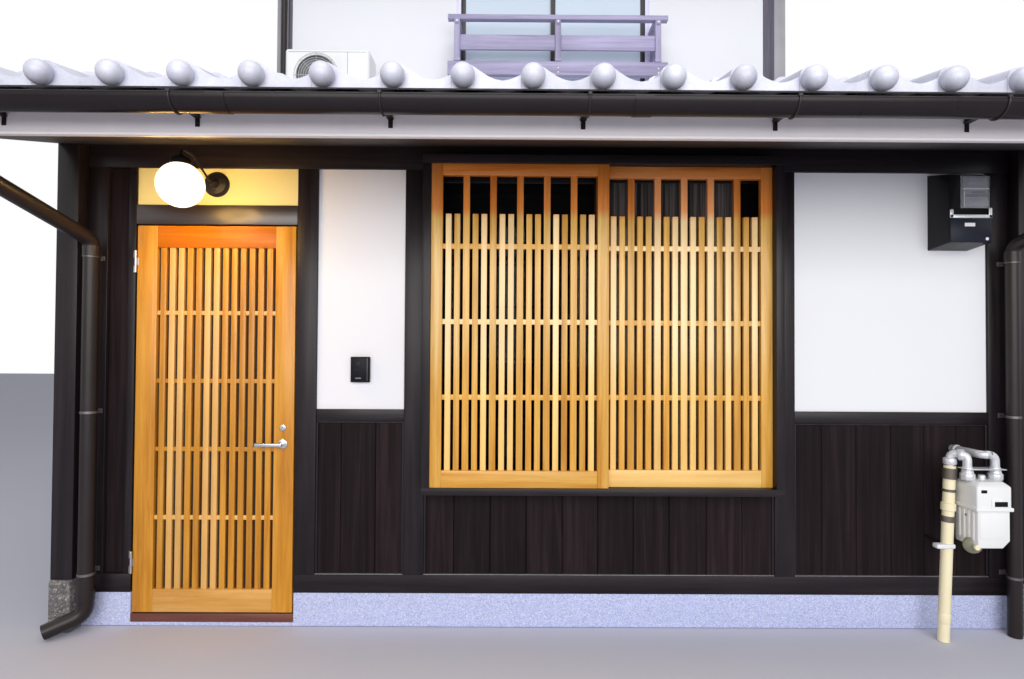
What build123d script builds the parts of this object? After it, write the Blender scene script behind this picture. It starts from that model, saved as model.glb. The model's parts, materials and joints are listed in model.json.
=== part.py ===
from build123d import *
from math import cos, pi, sin
import os

# Two-storey townhouse in a row, seen from the street. Millimetres, +Z up.
# X runs along the street, Y runs from the street into the house.
# The origin is the middle of the front wall, on the ground.

# Widths along the front wall, from the left party wall to the right one
party_wall = 110
post_width = 107
side_board_width = 107
door_jamb_width = 40
doorway_width = 843
narrow_panel_width = 458
window_bay_width = 1831
wide_panel_width = 1016

# Heights of the front wall
plinth_height = 173
sill_beam_height = 94
board_top = 1062
dado_rail_height = 63
soffit_at_wall = 2505

# Thicknesses of the walls
post_depth = 105
plaster_recess = 15
plaster_thickness = 75
board_recess = 20
board_thickness = 70
dado_rail_recess = 5
dado_rail_depth = 95
footing_depth = 120
floor_slab_thickness = 60

# Boundary posts and the stones that they stand on
boundary_post_reach = 70
boundary_post_depth = 105
post_stone_height = 261
post_stone_margin = 12

# Depth of the house
front_block_depth = 2800
main_block_depth = 5400

# Entrance door
leaf_width = 827
leaf_height = 2010
leaf_thickness = 40
leaf_bottom = 70
leaf_set_back = 2
leaf_jamb_gap = 8
leaf_threshold_gap = 6
threshold_thickness = 44
leaf_stile = 104
leaf_top_rail = 115
leaf_bottom_rail = 118
leaf_bar_count = 13
leaf_bar_width = 28
leaf_bar_depth = 20
leaf_tie_count = 4
leaf_tie_height = 22
leaf_tie_recess = 4
leaf_tie_rise = 14
leaf_backing_thickness = 8
lintel_gap = 7
lintel_height = 103

# Door fittings
hinge_axis_reach = 6
hinge_axis_inset = 4
hinge_radius = 6.5
hinge_length = 114
hinge_plate_width = 12
hinge_plate_thickness = 3
hinge_gap = 0.6
upper_hinge_height = 1890
lower_hinge_height = 328
rose_radius = 25
rose_thickness = 8
lever_height = 943
lock_height = 1027
lever_backset = 56
lever_length = 130
lever_radius = 9
lever_width = 19
lever_thickness = 13
lever_heel = 10
lever_reach = 46
lever_gap = 0.3
lock_radius = 17

# Projecting lattice window
window_sill_top = 744
window_sill_thickness = 36
window_box_reach = 120
window_box_depth_inside = 60
window_box_jamb = 42
window_box_head = 45
lattice_height = 1641
lattice_setback = 8
lattice_depth = 36
lattice_stile = 58
lattice_top_rail = 60
lattice_bottom_rail = 86
parent_bar_count = 5
parent_bar_width = 33
child_bars_per_cell = 2
child_bar_width = 29
child_bar_top = 1385
lattice_bar_depth = 26
lattice_tie_height = 26
lattice_tie_depth = 14
lattice_tie_recess = 6
lattice_tie_heights = (455, 837, 1220)
lattice_fit = 0.5

# Glazed sliding windows
sash_bar = 45
sash_depth = 26
glass_thickness = 5
upper_window_width = 1912
upper_window_centre = 212
upper_window_sill = 3990
upper_window_height = 1320
window_frame_bar = 40
window_frame_depth = 75
back_window_width = 1650
back_window_sill = 1200
back_window_height = 1100

# Lower roof over the street
roof_slope = 0.2825
eave_reach = 910
fascia_reach = 800
fascia_thickness = 25
fascia_bottom_drop = 4
soffit_thickness = 12
rafter_depth = 105
rafter_width = 45
rafter_count = 11
deck_thickness = 18
tile_bed = 86
tile_roll_height = 46
tile_pitch = 262
# Points over a tile and over the last roll: shares of the pitch, and of the roll's height
tile_section = ((-0.172, 0), (-0.126, 0.72), (0, 1), (0.16, 0.67), (0.35, -0.07), (0.56, -0.43),
                (0.76, -0.11))
verge_section = ((-0.172, 0), (-0.126, 0.72), (0, 1), (0.126, 0.72), (0.172, 0))
eave_ball_diameter = 92
eave_ball_reach = 24
eave_ball_drop = 9
eave_ball_sides = 12
flashing_height = 150
flashing_depth = 170

# Main roof
main_slope = 0.45
main_overhang = 600
main_tile_reach = 75
plate_course_count = 5
plate_course_step = 12
wall_top = 5900
ridge_gap = 20
ridge_width = 300
ridge_height = 300
ridge_cap_radius = 90

# Rainwater goods
gutter_radius = 55
gutter_wall = 4
gutter_clearance = 12
gutter_drop = 5
gutter_bracket_pitch = 757
middle_bracket_x = 81
gutter_bracket_width = 26
gutter_bracket_thickness = 4
left_pipe_diameter = 76
right_pipe_diameter = 64
left_pipe_x = -2336
right_pipe_x = 2372
pipe_stand_off = 80
pipe_top = 1987
pipe_foot = 95
foot_forward = 90
foot_height = 42
strap_heights = (291, 1105, 1898)
strap_height = 8
strap_thickness = 3
upper_pipe_diameter = 60
upper_pipe_x = -2440
upper_pipe_gap = 20
upper_pipe_drop = 330
gutter_outlet_drop = 70
left_outlet_inset = 100
right_outlet_inset = 60
foot_outlet_inset = 45
pipe_bend = 30
pipe_sides = 16
gutter_sides = 16

# Upper storey
upper_floor_top = 3300
upper_floor_thickness = 150
girder_height = 300
plate_height = 180
upper_left_post_width = 36

# Balcony rail in front of the upper window
balcony_left = -804
balcony_right = 1279
balcony_reach = 300
balcony_base_rise = 44
balcony_base_height = 130
balcony_beam_depth = 60
balcony_post_width = 54
balcony_post_lefts = (-743, 213, 1160)
balcony_board_rise = 290
balcony_board_height = 145
balcony_board_thickness = 22
balcony_rail_rise = 573
balcony_rail_height = 46

# Air conditioner on the lower roof
cooler_left = -2269
cooler_width = 769
cooler_height = 540
cooler_depth = 290
cooler_wall_gap = 180
cooler_foot_height = 215
cooler_corner = 18
fan_from_left = 285
fan_from_top = 245
fan_radius = 200
fan_recess = 40
fan_ring_width = 12
fan_hub_radius = 55
fan_sides = 24
cooler_foot_width = 50

# Porch lamp
lamp_x = -1748
lamp_height = 2300
lamp_rose_radius = 66
lamp_rose_thickness = 28
lamp_reach = 340
globe_height = 2203
globe_radius = 105
lamp_arm_radius = 8
lamp_arm_rise = 35
lamp_arm_start = 60
lamp_arm_run = 110
lamp_arm_bend = 20
globe_overlap = 10
globe_sides = 24
globe_rings = (-0.97, -0.83, -0.62, -0.36, -0.1, 0.16, 0.42, 0.66, 0.86, 0.98)
globe_cap_radius = 45
globe_cap_height = 34

# Boxes on the wall
doorphone_x = -1031
doorphone_bottom = 1266
doorphone_width = 99
doorphone_height = 133
doorphone_depth = 30
meter_box_x = 2003
meter_box_bottom = 1976
meter_box_width = 210
meter_box_height = 396
meter_box_depth = 160
meter_box_lid_fall = 36
meter_box_base_rise = 16
meter_window_width = 148
meter_window_height = 165
meter_window_recess = 18
meter_window_margin = 7
meter_trim_height = 16
meter_trim_rise = 50
meter_trim_width = 14
meter_trim_proud = 7
meter_cover_proud = 4
gas_meter_x = 2045
gas_meter_bottom = 497
gas_meter_width = 168
gas_meter_height = 318
gas_meter_depth = 160
gas_meter_stand_off = 100
gas_meter_ledge_height = 179
gas_meter_ledge_thickness = 19
gas_meter_ledge_proud = 6
gas_meter_lower_inset = 8
gas_meter_chamfer = 34
gas_meter_taper = 30
gas_drain_radius = 38
gas_drain_thickness = 40
gas_drain_inset = 14
gas_inlet_inset = 13
gas_outlet_inset = 18
gas_union_radius = 33
gas_union_height = 45
gas_steel_radius = 20
gas_bend = 24
gas_coupling_radius = 32
gas_coupling_bottom = 808
gas_coupling_height = 66
gas_outlet_back = 65
gas_strap_height = 470
gas_strap_thickness = 30
gas_strap_width = 76
gas_riser_lean = 38
gas_pipe_radius = 27
gas_riser_x = 1971
gas_loop_height = 935

# Places that follow from the sizes above
inner_width = (post_width * 5 + side_board_width + door_jamb_width + doorway_width
               + narrow_panel_width + window_bay_width + wide_panel_width)
house_width = inner_width + 2 * party_wall
inner_left = -inner_width / 2
inner_right = inner_width / 2
wall_left = -house_width / 2
wall_right = house_width / 2
corner_right = inner_left + post_width
jamb_left = corner_right + side_board_width
door_left = jamb_left + door_jamb_width
door_right = door_left + doorway_width
panel1_left = door_right + post_width
panel1_right = panel1_left + narrow_panel_width
bay_left = panel1_right + post_width
bay_right = bay_left + window_bay_width
panel2_left = bay_right + post_width
panel2_right = panel2_left + wide_panel_width
sill_top = plinth_height + sill_beam_height
dado_top = board_top + dado_rail_height
upper_front = front_block_depth
house_back = front_block_depth + main_block_depth
ridge_y = front_block_depth + main_block_depth / 2
back_post_front = house_back - post_depth
leaf_left = door_left + leaf_jamb_gap
leaf_right = leaf_left + leaf_width
leaf_top = leaf_bottom + leaf_height
lintel_bottom = leaf_top + lintel_gap
lintel_top = lintel_bottom + lintel_height
threshold_top = leaf_bottom - leaf_threshold_gap
threshold_bottom = threshold_top - threshold_thickness
hinge_x = leaf_left - hinge_axis_inset
hinge_y = -hinge_axis_reach
lever_x = leaf_right - lever_backset
window_sill_bottom = window_sill_top - window_sill_thickness
window_head_bottom = window_sill_top + lattice_height
header_bottom = window_head_bottom
lattice_left_edge = bay_left + window_box_jamb
lattice_right_edge = bay_right - window_box_jamb
gutter_y = -(eave_reach + gutter_radius - gutter_clearance)


def block(x0, x1, y0, y1, z0, z1):
    box = Box(x1 - x0, y1 - y0, z1 - z0, align=(Align.MIN, Align.MIN, Align.MIN))
    return box.moved(Location((x0, y0, z0)))


def side_prism(outline, x0, x1):
    """Solid with an outline in Y and Z, drawn out along X."""
    corners = [Vector(x0, y, z) for y, z in outline]
    face = Face(Wire.make_polygon(corners, close=True))
    return Solid.extrude(face, Vector(x1 - x0, 0, 0))


def rod(start, end, radius, sides=pipe_sides):
    """Rod with many flat sides from one point to another."""
    start, end = Vector(*start), Vector(*end)
    section = Plane(origin=start, z_dir=end - start) * RegularPolygon(radius, sides)
    return Solid.extrude(section.face(), end - start)


def pin(start, end, radius):
    """True round pin, for what turns on it."""
    start, end = Vector(*start), Vector(*end)
    plane = Plane(origin=start, z_dir=end - start)
    return Solid.make_cylinder(radius, (end - start).length, plane)


def disc(x, y, z, radius, thickness):
    """Round plate whose back is at y and whose front is nearer the street."""
    return rod((x, y, z), (x, y - thickness, z), radius, gutter_sides)


def bent_pipe(points, radius, bend):
    """Pipe along the points, with two mitres in place of each corner."""
    points = [Vector(*point) for point in points]
    route = [points[0]]
    for before, corner, after in zip(points, points[1:], points[2:]):
        route.append(corner + (before - corner).normalized() * bend)
        route.append(corner + (after - corner).normalized() * bend)
    route.append(points[-1])
    path = Polyline(*route)
    section = Plane(origin=route[0], z_dir=route[1] - route[0]) * RegularPolygon(radius, pipe_sides)
    return sweep(section, path=path, transition=Transition.RIGHT)


def bun(centre, radius, rings, sides, axis):
    """Ball of flat facets; each ring is a share of the radius along the axis."""
    plane = Plane(origin=Vector(*centre), z_dir=Vector(*axis))
    rims = []
    for share in rings:
        reach = radius * (1 - share * share) ** 0.5
        turns = [2 * pi * i / sides for i in range(sides)]
        rims.append([plane.from_local_coords(Vector(reach * cos(turn), reach * sin(turn), radius * share))
                     for turn in turns])
    faces = [Face(Wire.make_polygon(rim, close=True)) for rim in (rims[0], rims[-1])]
    for low, high in zip(rims, rims[1:]):
        for i in range(sides):
            corners = [low[i - 1], low[i], high[i], high[i - 1]]
            faces.append(Face(Wire.make_polygon(corners, close=True)))
    return Solid(Shell(faces))


def ring_frame(x0, x1, y0, y1, z0, z1, bar):
    """Rectangular frame of one bar width."""
    outer = block(x0, x1, y0, y1, z0, z1)
    return outer - block(x0 + bar, x1 - bar, y0 - 1, y1 + 1, z0 + bar, z1 - bar)


def save(name, *solids):
    """Write the pieces of one node."""
    flat = [piece for solid in solids for piece in solid.solids()]
    shape = flat[0] if len(flat) == 1 else Compound(flat)
    export_step(shape, os.path.join("parts", name + ".step"))


# Heights of the lower roof's layers, counted straight up, at a distance behind the front wall
def soffit_z(y):
    return soffit_at_wall + roof_slope * y


def rafter_z(y):
    return soffit_z(y) + soffit_thickness


def deck_z(y):
    return rafter_z(y) + rafter_depth


def tile_bed_z(y):
    return deck_z(y) + deck_thickness


def tile_crest_z(y):
    return tile_bed_z(y) + tile_bed + tile_roll_height


# Heights of the main roof's layers at a distance from the ridge
def main_rafter_z(distance):
    return wall_top + main_slope * (main_block_depth / 2 - distance)


def main_deck_z(distance):
    return main_rafter_z(distance) + rafter_depth


def main_tile_z(distance):
    return main_deck_z(distance) + deck_thickness


def main_crest_z(distance):
    return main_tile_z(distance) + tile_bed + tile_roll_height


def foundations():
    front = block(inner_left, inner_right, 0, footing_depth, 0, plinth_height)
    front -= block(door_left, door_right, -1, footing_depth + 1, threshold_bottom, plinth_height + 1)
    back = block(inner_left, inner_right, house_back - footing_depth, house_back, 0, plinth_height)
    save("foundations", front, back)
    save("ground_floor", block(inner_left, inner_right, footing_depth, house_back - footing_depth,
                               0, floor_slab_thickness))


def party_walls():
    y0 = boundary_post_depth - boundary_post_reach
    over_lower_roof = deck_z(upper_front)
    outline = [(y0, 0), (house_back, 0), (house_back, main_deck_z(main_block_depth / 2)),
               (ridge_y, main_deck_z(0)), (upper_front, main_deck_z(main_block_depth / 2)),
               (upper_front, over_lower_roof), (y0, deck_z(y0))]
    save("party_wall_left", side_prism(outline, wall_left, inner_left))
    save("party_wall_right", side_prism(outline, inner_right, wall_right))


def boundary_posts():
    y0, y1 = -boundary_post_reach, boundary_post_depth - boundary_post_reach
    outline = [(y0, post_stone_height), (y1, post_stone_height), (y1, rafter_z(y1)), (y0, rafter_z(y0))]
    save("boundary_posts", side_prism(outline, wall_left, inner_left),
         side_prism(outline, inner_right, wall_right))
    save("boundary_post_stones",
         block(wall_left, inner_left, y0 - post_stone_margin, y1, 0, post_stone_height),
         block(inner_right, wall_right, y0 - post_stone_margin, y1, 0, post_stone_height))


def timber_frame():
    save("sill_beams",
         block(inner_left, door_left, 0, post_depth, plinth_height, sill_top),
         block(door_right, inner_right, 0, post_depth, plinth_height, sill_top),
         block(inner_left, inner_right, back_post_front, house_back, plinth_height, sill_top))
    lefts = [(inner_left, corner_right), (jamb_left, door_left), (door_right, panel1_left),
             (panel1_right, bay_left), (bay_right, panel2_left), (panel2_right, inner_right)]
    posts = [block(x0, x1, 0, post_depth, sill_top, header_bottom) for x0, x1 in lefts]
    girder_bottom = upper_floor_top - girder_height
    for x0, x1 in back_post_places():
        posts.append(block(x0, x1, back_post_front, house_back, sill_top, girder_bottom))
    save("ground_posts", *posts)
    save("header_beam", side_prism([(0, header_bottom), (post_depth, header_bottom),
                                    (post_depth, rafter_z(post_depth)), (0, rafter_z(0))],
                                   inner_left, inner_right))
    save("door_lintel", block(door_left, door_right, 0, post_depth, lintel_bottom, lintel_top))
    save("door_threshold", block(door_left, door_right, 0, footing_depth, threshold_bottom, threshold_top))


def back_post_places():
    """Left and right faces of the four posts in the back wall."""
    half_window = back_window_width / 2
    return [(inner_left, corner_right), (-half_window - post_width, -half_window),
            (half_window, half_window + post_width), (inner_right - post_width, inner_right)]


def ground_walls():
    y0, y1 = plaster_recess, plaster_recess + plaster_thickness
    back0, back1 = house_back - y1, house_back - y0
    girder_bottom = upper_floor_top - girder_height
    places = back_post_places()
    plaster = [block(panel1_left, panel1_right, y0, y1, dado_top, header_bottom),
               block(panel2_left, panel2_right, y0, y1, dado_top, header_bottom),
               block(door_left, door_right, y0, y1, lintel_top, header_bottom),
               block(places[0][1], places[1][0], back0, back1, dado_top, girder_bottom),
               block(places[2][1], places[3][0], back0, back1, dado_top, girder_bottom),
               block(places[1][1], places[2][0], back0, back1,
                     back_window_sill + back_window_height, girder_bottom)]
    save("plaster_panels", *plaster)
    b0, b1 = board_recess, board_recess + board_thickness
    boards = [block(panel1_left, panel1_right, b0, b1, sill_top, board_top),
              block(panel2_left, panel2_right, b0, b1, sill_top, board_top),
              block(bay_left, bay_right, b0, b1, sill_top, window_sill_bottom),
              block(corner_right, jamb_left, b0, b1, sill_top, header_bottom),
              block(places[0][1], places[1][0], house_back - b1, house_back - b0, sill_top, board_top),
              block(places[2][1], places[3][0], house_back - b1, house_back - b0, sill_top, board_top),
              block(places[1][1], places[2][0], house_back - b1, house_back - b0, sill_top,
                    back_window_sill)]
    save("wall_boards", *boards)
    r0, r1 = dado_rail_recess, dado_rail_recess + dado_rail_depth
    rails = [block(panel1_left, panel1_right, r0, r1, board_top, dado_top),
             block(panel2_left, panel2_right, r0, r1, board_top, dado_top),
             block(places[0][1], places[1][0], house_back - r1, house_back - r0, board_top, dado_top),
             block(places[2][1], places[3][0], house_back - r1, house_back - r0, board_top, dado_top)]
    save("dado_rails", *rails)


def door_lattice(x0, x1, z0, z1, front):
    """Upright bars with thin ties let in behind their faces."""
    gap = (x1 - x0 - leaf_bar_count * leaf_bar_width) / (leaf_bar_count + 1)
    lefts = [x0 + gap + i * (gap + leaf_bar_width) for i in range(leaf_bar_count)]
    bars = [block(x, x + leaf_bar_width, front, front + leaf_bar_depth, z0, z1) for x in lefts]
    step = (z1 - z0) / (leaf_tie_count + 1)
    heights = [z0 + (i + 1) * step + leaf_tie_rise for i in range(leaf_tie_count)]
    ties = [block(x0, x1, front + leaf_tie_recess, front + leaf_bar_depth,
                  z - leaf_tie_height / 2, z + leaf_tie_height / 2)
            for z in heights]
    return bars[0].fuse(*bars[1:], *ties)


def entrance_door():
    front = leaf_set_back
    x0, x1 = leaf_left + leaf_stile, leaf_right - leaf_stile
    z0, z1 = leaf_bottom + leaf_bottom_rail, leaf_top - leaf_top_rail
    back = front + leaf_thickness
    leaf = block(leaf_left, leaf_right, front, back, leaf_bottom, leaf_top)
    leaf -= block(x0, x1, front - 1, back + 1, z0, z1)
    save("door_leaf", leaf)
    save("door_lattice", door_lattice(x0, x1, z0, z1, front + leaf_tie_recess))
    lattice_back = front + leaf_tie_recess + leaf_bar_depth
    save("door_backing", block(x0, x1, lattice_back, lattice_back + leaf_backing_thickness, z0, z1))


def hinge_knuckle(bottom, top):
    return pin((hinge_x, hinge_y, bottom), (hinge_x, hinge_y, top), hinge_radius)


def hinges():
    """Each hinge has three knuckles: the middle one is on the leaf."""
    third = hinge_length / 3
    on_leaf, on_jamb = [], []
    for height in (upper_hinge_height, lower_hinge_height):
        bottom = height - hinge_length / 2
        low, high = bottom + third, bottom + 2 * third
        leaf_plate = block(hinge_x, hinge_x + hinge_plate_width, leaf_set_back - hinge_plate_thickness,
                           leaf_set_back, low, high)
        on_leaf.append(hinge_knuckle(low, high) + leaf_plate)
        jamb_plate = block(hinge_x - hinge_plate_width, hinge_x, -hinge_plate_thickness, 0,
                           bottom, low - hinge_gap)
        on_jamb.append(hinge_knuckle(bottom, low - hinge_gap) + jamb_plate)
        jamb_plate = jamb_plate.moved(Location((0, 0, high + hinge_gap - bottom)))
        on_jamb.append(hinge_knuckle(high + hinge_gap, bottom + hinge_length) + jamb_plate)
    return on_leaf, on_jamb


def lever(front_sign, face):
    """Lever handle: a neck out of the rose and a flat arm towards the hinges."""
    neck_start = face + front_sign * (rose_thickness + lever_gap)
    neck_end = face + front_sign * (rose_thickness + lever_reach)
    arm_inside = neck_end - front_sign * lever_thickness
    neck = pin((lever_x, neck_start, lever_height), (lever_x, arm_inside, lever_height), lever_radius)
    arm = block(lever_x - lever_length, lever_x + lever_heel, min(arm_inside, neck_end),
                max(arm_inside, neck_end), lever_height - lever_width / 2, lever_height + lever_width / 2)
    return neck + arm


def door_fittings():
    on_leaf, on_jamb = hinges()
    front, back = leaf_set_back, leaf_set_back + leaf_thickness
    roses = [disc(lever_x, front, lever_height, rose_radius, rose_thickness),
             disc(lever_x, back + rose_thickness, lever_height, rose_radius, rose_thickness),
             disc(lever_x, front, lock_height, lock_radius, rose_thickness),
             disc(lever_x, back + rose_thickness, lock_height, lock_radius, rose_thickness)]
    save("door_hardware", *on_leaf, *roses)
    save("hinge_plates", *on_jamb)
    save("door_lever", lever(-1, front), lever(1, back))


def window_box():
    y0, y1 = -window_box_reach, window_box_depth_inside
    save("window_box_jambs",
         block(bay_left, lattice_left_edge, y0, y1, window_sill_top, window_head_bottom),
         block(lattice_right_edge, bay_right, y0, y1, window_sill_top, window_head_bottom))
    head = block(bay_left, bay_right, y0, 0, window_head_bottom, window_head_bottom + window_box_head)
    save("window_box_boards",
         block(bay_left, bay_right, y0, y1, window_sill_bottom, window_sill_top), head)


def lattice_panel(x0, x1, front):
    """Parent bars run the full height, child bars between them are cut short."""
    z0, z1 = window_sill_top + lattice_fit, window_head_bottom - lattice_fit
    left, right = x0 + lattice_stile, x1 - lattice_stile
    bottom, top = z0 + lattice_bottom_rail, z1 - lattice_top_rail
    panel = block(x0, x1, front, front + lattice_depth, z0, z1)
    panel -= block(left, right, front - 1, front + lattice_depth + 1, bottom, top)
    bar_front = front + lattice_tie_recess
    bar_back = bar_front + lattice_bar_depth
    cell = (right - left - parent_bar_count * parent_bar_width) / (parent_bar_count + 1)
    gap = (cell - child_bars_per_cell * child_bar_width) / (child_bars_per_cell + 1)
    pieces = []
    for i in range(parent_bar_count + 1):
        cell_left = left + i * (cell + parent_bar_width)
        if i < parent_bar_count:
            pieces.append(block(cell_left + cell, cell_left + cell + parent_bar_width,
                                bar_front, bar_back, bottom, top))
        for j in range(child_bars_per_cell):
            x = cell_left + gap + j * (child_bar_width + gap)
            pieces.append(block(x, x + child_bar_width, bar_front, bar_back, bottom,
                                window_sill_top + child_bar_top))
    for height in lattice_tie_heights:
        z = window_sill_top + height
        pieces.append(block(left, right, bar_front + lattice_tie_recess,
                            bar_front + lattice_tie_recess + lattice_tie_depth,
                            z - lattice_tie_height / 2, z + lattice_tie_height / 2))
    return panel.fuse(*pieces)


def lattice_window():
    front = -window_box_reach + lattice_setback
    x0, x1 = lattice_left_edge + lattice_fit, lattice_right_edge - lattice_fit
    middle = (x0 + x1) / 2
    save("lattice_left", lattice_panel(x0, middle + lattice_stile / 2, front))
    save("lattice_right", lattice_panel(middle - lattice_stile / 2, x1,
                                        front + lattice_depth + lattice_fit))


def sliding_window(x0, x1, z0, z1, y, inward):
    """Outer frame, two sashes that pass each other and their glass; inward is 1 or -1."""
    def span(a, b):
        return (y + inward * a, y + inward * b) if inward > 0 else (y + inward * b, y + inward * a)
    middle = (x0 + x1) / 2
    sashes, panes = [], []
    for left, right, near in ((x0, middle + sash_bar / 2, sash_depth + lattice_fit),
                              (middle - sash_bar / 2, x1, 0)):
        a, b = span(near, near + sash_depth)
        sashes.append(ring_frame(left, right, a, b, z0, z1, sash_bar))
        half = (sash_depth - glass_thickness) / 2
        a, b = span(near + half, near + half + glass_thickness)
        panes.append(block(left + sash_bar, right - sash_bar, a, b, z0 + sash_bar, z1 - sash_bar))
    return sashes, panes


def windows():
    sashes, panes = sliding_window(bay_left, bay_right, window_sill_top, window_head_bottom,
                                   window_box_depth_inside, 1)
    bar = window_frame_bar
    frames = []
    upper_x0 = upper_window_centre - upper_window_width / 2
    openings = [(upper_x0, upper_x0 + upper_window_width, upper_window_sill,
                 upper_window_sill + upper_window_height, upper_front, 1),
                (upper_x0, upper_x0 + upper_window_width, upper_window_sill,
                 upper_window_sill + upper_window_height, house_back, -1),
                (-back_window_width / 2, back_window_width / 2, back_window_sill,
                 back_window_sill + back_window_height, house_back, -1)]
    for x0, x1, z0, z1, y, inward in openings:
        y0, y1 = sorted((y, y + inward * window_frame_depth))
        frames.append(ring_frame(x0, x1, y0, y1, z0, z1, bar))
        more, glass = sliding_window(x0 + bar, x1 - bar, z0 + bar, z1 - bar, y + inward * 10, inward)
        sashes += more
        panes += glass
    save("window_frames", *frames)
    save("window_sashes", *sashes)
    save("window_glass", *panes)


def rafter_lefts():
    step = (inner_width - 2 * post_width - rafter_width) / (rafter_count - 1)
    return [inner_left + post_width + i * step for i in range(rafter_count)]


def rafters():
    pieces = []
    reach = fascia_reach - fascia_thickness
    y1 = upper_front + plaster_recess
    overhang = main_block_depth / 2 + main_overhang - main_tile_reach
    for x0 in rafter_lefts():
        outline = [(-reach, rafter_z(-reach)), (y1, rafter_z(y1)),
                   (y1, deck_z(y1)), (-reach, deck_z(-reach))]
        pieces.append(side_prism(outline, x0, x0 + rafter_width))
        for side in (-1, 1):
            outline = [(ridge_y + side * ridge_gap, main_rafter_z(ridge_gap)),
                       (ridge_y + side * overhang, main_rafter_z(overhang)),
                       (ridge_y + side * overhang, main_deck_z(overhang)),
                       (ridge_y + side * ridge_gap, main_deck_z(ridge_gap))]
            pieces.append(side_prism(outline, x0, x0 + rafter_width))
    save("rafters", *pieces)


def eave():
    y0, y1 = -fascia_reach, -fascia_reach + fascia_thickness
    outline = [(y0, soffit_z(y0) - fascia_bottom_drop), (y1, soffit_z(y0) - fascia_bottom_drop),
               (y1, deck_z(y1)), (y0, deck_z(y0))]
    save("eave_fascia", side_prism(outline, wall_left, wall_right))
    outline = [(y1, soffit_z(y1)), (0, soffit_z(0)), (0, rafter_z(0)), (y1, rafter_z(y1))]
    pieces = [side_prism(outline, inner_left, inner_right)]
    outline = [(y1, soffit_z(y1)), (-boundary_post_reach, soffit_z(-boundary_post_reach)),
               (-boundary_post_reach, rafter_z(-boundary_post_reach)), (y1, rafter_z(y1))]
    pieces.append(side_prism(outline, wall_left, inner_left))
    pieces.append(side_prism(outline, inner_right, wall_right))
    save("eave_soffit", pieces[0].fuse(*pieces[1:]))


def roof_decks():
    y0, y1 = -eave_reach, upper_front
    outline = [(y0, deck_z(y0)), (y1, deck_z(y1)), (y1, tile_bed_z(y1)), (y0, tile_bed_z(y0))]
    decks = [side_prism(outline, wall_left, wall_right)]
    overhang = main_block_depth / 2 + main_overhang
    for side in (-1, 1):
        outline = [(ridge_y + side * ridge_gap, main_deck_z(ridge_gap)),
                   (ridge_y + side * overhang, main_deck_z(overhang)),
                   (ridge_y + side * overhang, main_tile_z(overhang)),
                   (ridge_y + side * ridge_gap, main_tile_z(ridge_gap))]
        decks.append(side_prism(outline, wall_left, wall_right))
    save("roof_decks", *decks)


def roll_places():
    """Middles of the tile rolls, from the left verge to the one before the right verge."""
    places = []
    x = wall_left + eave_ball_diameter / 2
    while x < verge_roll() - tile_pitch / 2:
        places.append(x)
        x += tile_pitch
    return places


def verge_roll():
    return wall_right - eave_ball_diameter / 2


def section_points(section, x, y, base):
    return [Vector(x + across * tile_pitch, y, base + up * tile_roll_height) for across, up in section]


def tile_field(y0, z0, y1, z1):
    """Roll and pan section across the roof, drawn out down the slope."""
    base = z0 + tile_bed
    outline = [Vector(wall_left, y0, base)]
    for x in roll_places():
        outline += section_points(tile_section, x, y0, base)
    verge = section_points(verge_section, verge_roll(), y0, base)
    outline = [point for point in outline if point.X < verge[0].X] + verge
    outline += [Vector(wall_right, y0, base), Vector(wall_right, y0, z0), Vector(wall_left, y0, z0)]
    face = Face(Wire.make_polygon(outline, close=True))
    return Solid.extrude(face, Vector(0, y1 - y0, z1 - z0))


def roof_tiles():
    y0 = -eave_reach
    save("lower_roof_tiles", tile_field(y0, tile_bed_z(y0), upper_front, tile_bed_z(upper_front)))
    overhang = main_block_depth / 2 + main_overhang
    fields = [tile_field(ridge_y + side * overhang, main_tile_z(overhang),
                         ridge_y + side * ridge_width / 2, main_tile_z(ridge_width / 2)) for side in (-1, 1)]
    save("main_roof_tiles", *fields)
    ball_z = tile_crest_z(y0) - eave_ball_drop - eave_ball_diameter / 2
    places = roll_places() + [verge_roll()]
    save("eave_tile_balls", *[eave_ball(x, y0, ball_z) for x in places])


def eave_ball(x, y, z):
    """Round bun on the end of a roll, flat where it meets the tile."""
    radius = eave_ball_diameter / 2
    rings = (-eave_ball_reach / radius, 0, 0.5, 0.86)
    return bun((x, y - eave_ball_reach, z), radius, rings, eave_ball_sides, (0, -1, 0))


def ridges():
    half = ridge_width / 2
    base = main_tile_z(half)
    shoulder = base + ridge_height
    body = side_prism([(ridge_y - half, base), (ridge_y, main_tile_z(0)), (ridge_y + half, base),
                       (ridge_y + half, main_crest_z(half)), (ridge_y - half, main_crest_z(half))],
                      wall_left, wall_right)
    step = (shoulder - main_crest_z(half)) / plate_course_count
    pieces = []
    for i in range(plate_course_count):
        reach = half - (i % 2) * plate_course_step
        z = main_crest_z(half) + i * step
        pieces.append(block(wall_left, wall_right, ridge_y - reach, ridge_y + reach, z, z + step))
    pieces.append(rod((wall_left, ridge_y, shoulder), (wall_right, ridge_y, shoulder), ridge_cap_radius))
    save("main_roof_ridge", body.fuse(*pieces))
    y1 = upper_front
    y0 = y1 - flashing_depth
    outline = [(y0, tile_crest_z(y0)), (y1, tile_crest_z(y1)), (y1, tile_crest_z(y1) + flashing_height),
               (y0, tile_crest_z(y0) + flashing_height / 3)]
    save("lower_roof_flashing", side_prism(outline, inner_left, inner_right))


def gutter(y, z):
    """Half-round channel along the eave."""
    outer = rod((wall_left, y, z), (wall_right, y, z), gutter_radius, gutter_sides)
    inner = rod((wall_left - 1, y, z), (wall_right + 1, y, z), gutter_radius - gutter_wall, gutter_sides)
    above = block(wall_left - 1, wall_right + 1, y - gutter_radius - 1, y + gutter_radius + 1,
                  z, z + gutter_radius + 1)
    return outer - inner - above


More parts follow.
